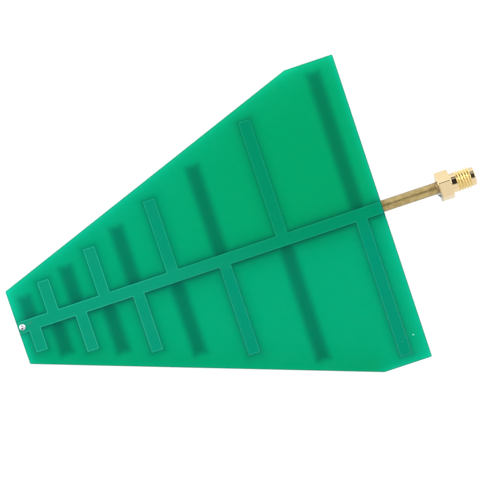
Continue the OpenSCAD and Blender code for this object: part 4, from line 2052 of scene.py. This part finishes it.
@dataclass(frozen=True)
class FloorFinish(Finish):
    """White backlit studio floor, which can be seen through from below."""

    white: Colour = (0.07, 0.07, 0.07)
    mist: Colour = (0.06, 0.06, 0.062)
    mist_size: float = 90.0
    roughness: float = 0.8
    specular: float = 0.1
    # Its own light, as the camera sees it and as it falls on the antenna
    glow: Colour = (1.0, 1.0, 1.0)
    shine: float = 0.985
    bounce: float = 0.81

    def paint(self, graph: Graph, shader: bpy.types.Node, point: Socket) -> None:
        """Lights the floor evenly, a little less where it is mirrored, and leaves its lower side clear.

        Args:
            graph: Tree of the material.
            shader: Its shader.
            point: Place on the surface.
        """
        cloudy = graph.noise(point, self.mist_size)
        graph.plug(graph.mix(cloudy, self.white, self.mist), shader.inputs["Base Color"])
        graph.plug(self.roughness, shader.inputs["Roughness"])
        graph.plug(self.specular, shader.inputs["Specular IOR Level"])
        graph.plug(self.glow, shader.inputs["Emission Color"])
        seen = graph.node("LightPath").outputs["Is Camera Ray"]
        light = graph.math("MULTIPLY_ADD", seen, self.shine - self.bounce, self.bounce)
        graph.plug(light, shader.inputs["Emission Strength"])
        clear = graph.node("BsdfTransparent")
        pick = graph.node("MixShader")
        below = graph.node("NewGeometry").outputs["Backfacing"]
        for given, target in zip((below, shader.outputs[0], clear.outputs[0]), pick.inputs):
            graph.plug(given, target)
        graph.plug(pick.outputs[0], graph.tree.nodes["Material Output"].inputs["Surface"])


@dataclass
class Studio:
    """Camera, floor and soft light."""

    # Lens and sensor, the camera's place and the nearest it sees, in millimetres, and its turn in degrees
    lens: float = 135.0
    sensor: float = 36.0
    camera_at: Place = (16.06, 35.523, 543.62)
    camera_turn: tuple[float, float, float] = (-3.766, 0.599, -18.556)
    nearest: float = 10.0
    floor_side: float = 6.0
    # Soft boxes to the left and right, on the side of +Y: power in watts, place of their centres and size
    box_power: tuple[float, float] = (54.4, 47.4)
    box_at: Place = (1.95, 1.22, 1.22)
    box_size: tuple[float, float] = (2.2, 2.4)
    # The room is pale and brighter towards +Y, apart from a dark panel overhead that leans the same way
    room: Span = (0.835, 1.07)
    room_turn: Span = (0.3, 0.95)
    panel: float = 0.03
    panel_lean: float = 26.5
    panel_half: float = 46.5
    panel_soft: float = 2.0
    # A pale slit runs across the panel along X: its light, lean, half width, and the share of that in full
    slit: float = 1.6
    slit_lean: float = 51.0
    slit_half: float = 2.4
    slit_core: float = 0.6

    def camera(self) -> None:
        """Places the camera at the photograph's viewing angle."""
        data = bpy.data.cameras.new("camera")
        data.lens = self.lens
        data.sensor_width = self.sensor
        data.clip_start = self.nearest * MM
        made = bpy.data.objects.new("camera", data)
        made.location = Vector(self.camera_at) * MM
        made.rotation_euler = Euler([math.radians(a) for a in self.camera_turn], "XYZ")
        bpy.context.scene.collection.objects.link(made)
        bpy.context.scene.camera = made

    def floor(self) -> None:
        """Lays the floor that the antenna rests on."""
        half = self.floor_side / 2
        corners = [(-half, -half, 0.0), (half, -half, 0.0), (half, half, 0.0), (-half, half, 0.0)]
        mesh = bpy.data.meshes.new("floor")
        mesh.from_pydata(corners, [], [range(len(corners))])
        mesh.materials.append(FloorFinish("studio_floor").material())
        made = bpy.data.objects.new("floor", mesh)
        bpy.context.scene.collection.objects.link(made)

    def soft_boxes(self) -> None:
        """Hangs one soft box to the left and one to the right."""
        x, y, z = self.box_at
        for side, power in zip((-1, 1), self.box_power):
            data = bpy.data.lights.new("soft_box", "AREA")
            data.shape = "RECTANGLE"
            data.size, data.size_y = self.box_size
            data.energy = power
            made = bpy.data.objects.new("soft_box", data)
            made.location = (side * x, y, z)
            made.rotation_euler = (-made.location).to_track_quat("-Z", "Y").to_euler()
            bpy.context.scene.collection.objects.link(made)

    def world(self) -> None:
        """Surrounds the scene with the pale room and its dark panel."""
        made = bpy.data.worlds.new("room")
        made.use_nodes = True
        graph = Graph(made.node_tree)
        way = graph.node("TexCoord").outputs["Generated"]
        _, across, _ = graph.parts(way)
        light = graph.ramp(across, *self.room_turn, *self.room)
        lean = math.radians(self.panel_lean)
        toward = graph.vector("DOT_PRODUCT", way, (0.0, math.sin(lean), math.cos(lean)))
        outer = math.cos(math.radians(self.panel_half + self.panel_soft))
        inner = math.cos(math.radians(self.panel_half - self.panel_soft))
        light = graph.ramp(toward, outer, inner, low=light, high=self.panel)
        lean = math.radians(self.slit_lean)
        aside = graph.vector("DOT_PRODUCT", way, (0.0, math.cos(lean), -math.sin(lean)))
        reach = math.sin(math.radians(self.slit_half))
        off = graph.math("ABSOLUTE", aside)
        light = graph.ramp(off, reach * self.slit_core, reach, low=self.slit, high=light)
        graph.plug(light, made.node_tree.nodes["Background"].inputs["Color"])
        bpy.context.scene.world = made

    def build(self) -> None:
        """Sets the scene up."""
        self.camera()
        self.floor()
        self.soft_boxes()
        self.world()
        bpy.context.scene.view_settings.view_transform = "Standard"


def main() -> None:
    """Builds the studio and every sub-assembly in order."""
    logging.basicConfig(level=logging.INFO, format="%(name)s: %(message)s")
    Studio().build()
    for assembly in (Board(), FeedPoint(), CableRun(), Jack()):
        assembly.build()


if __name__ == "__main__":
    main()
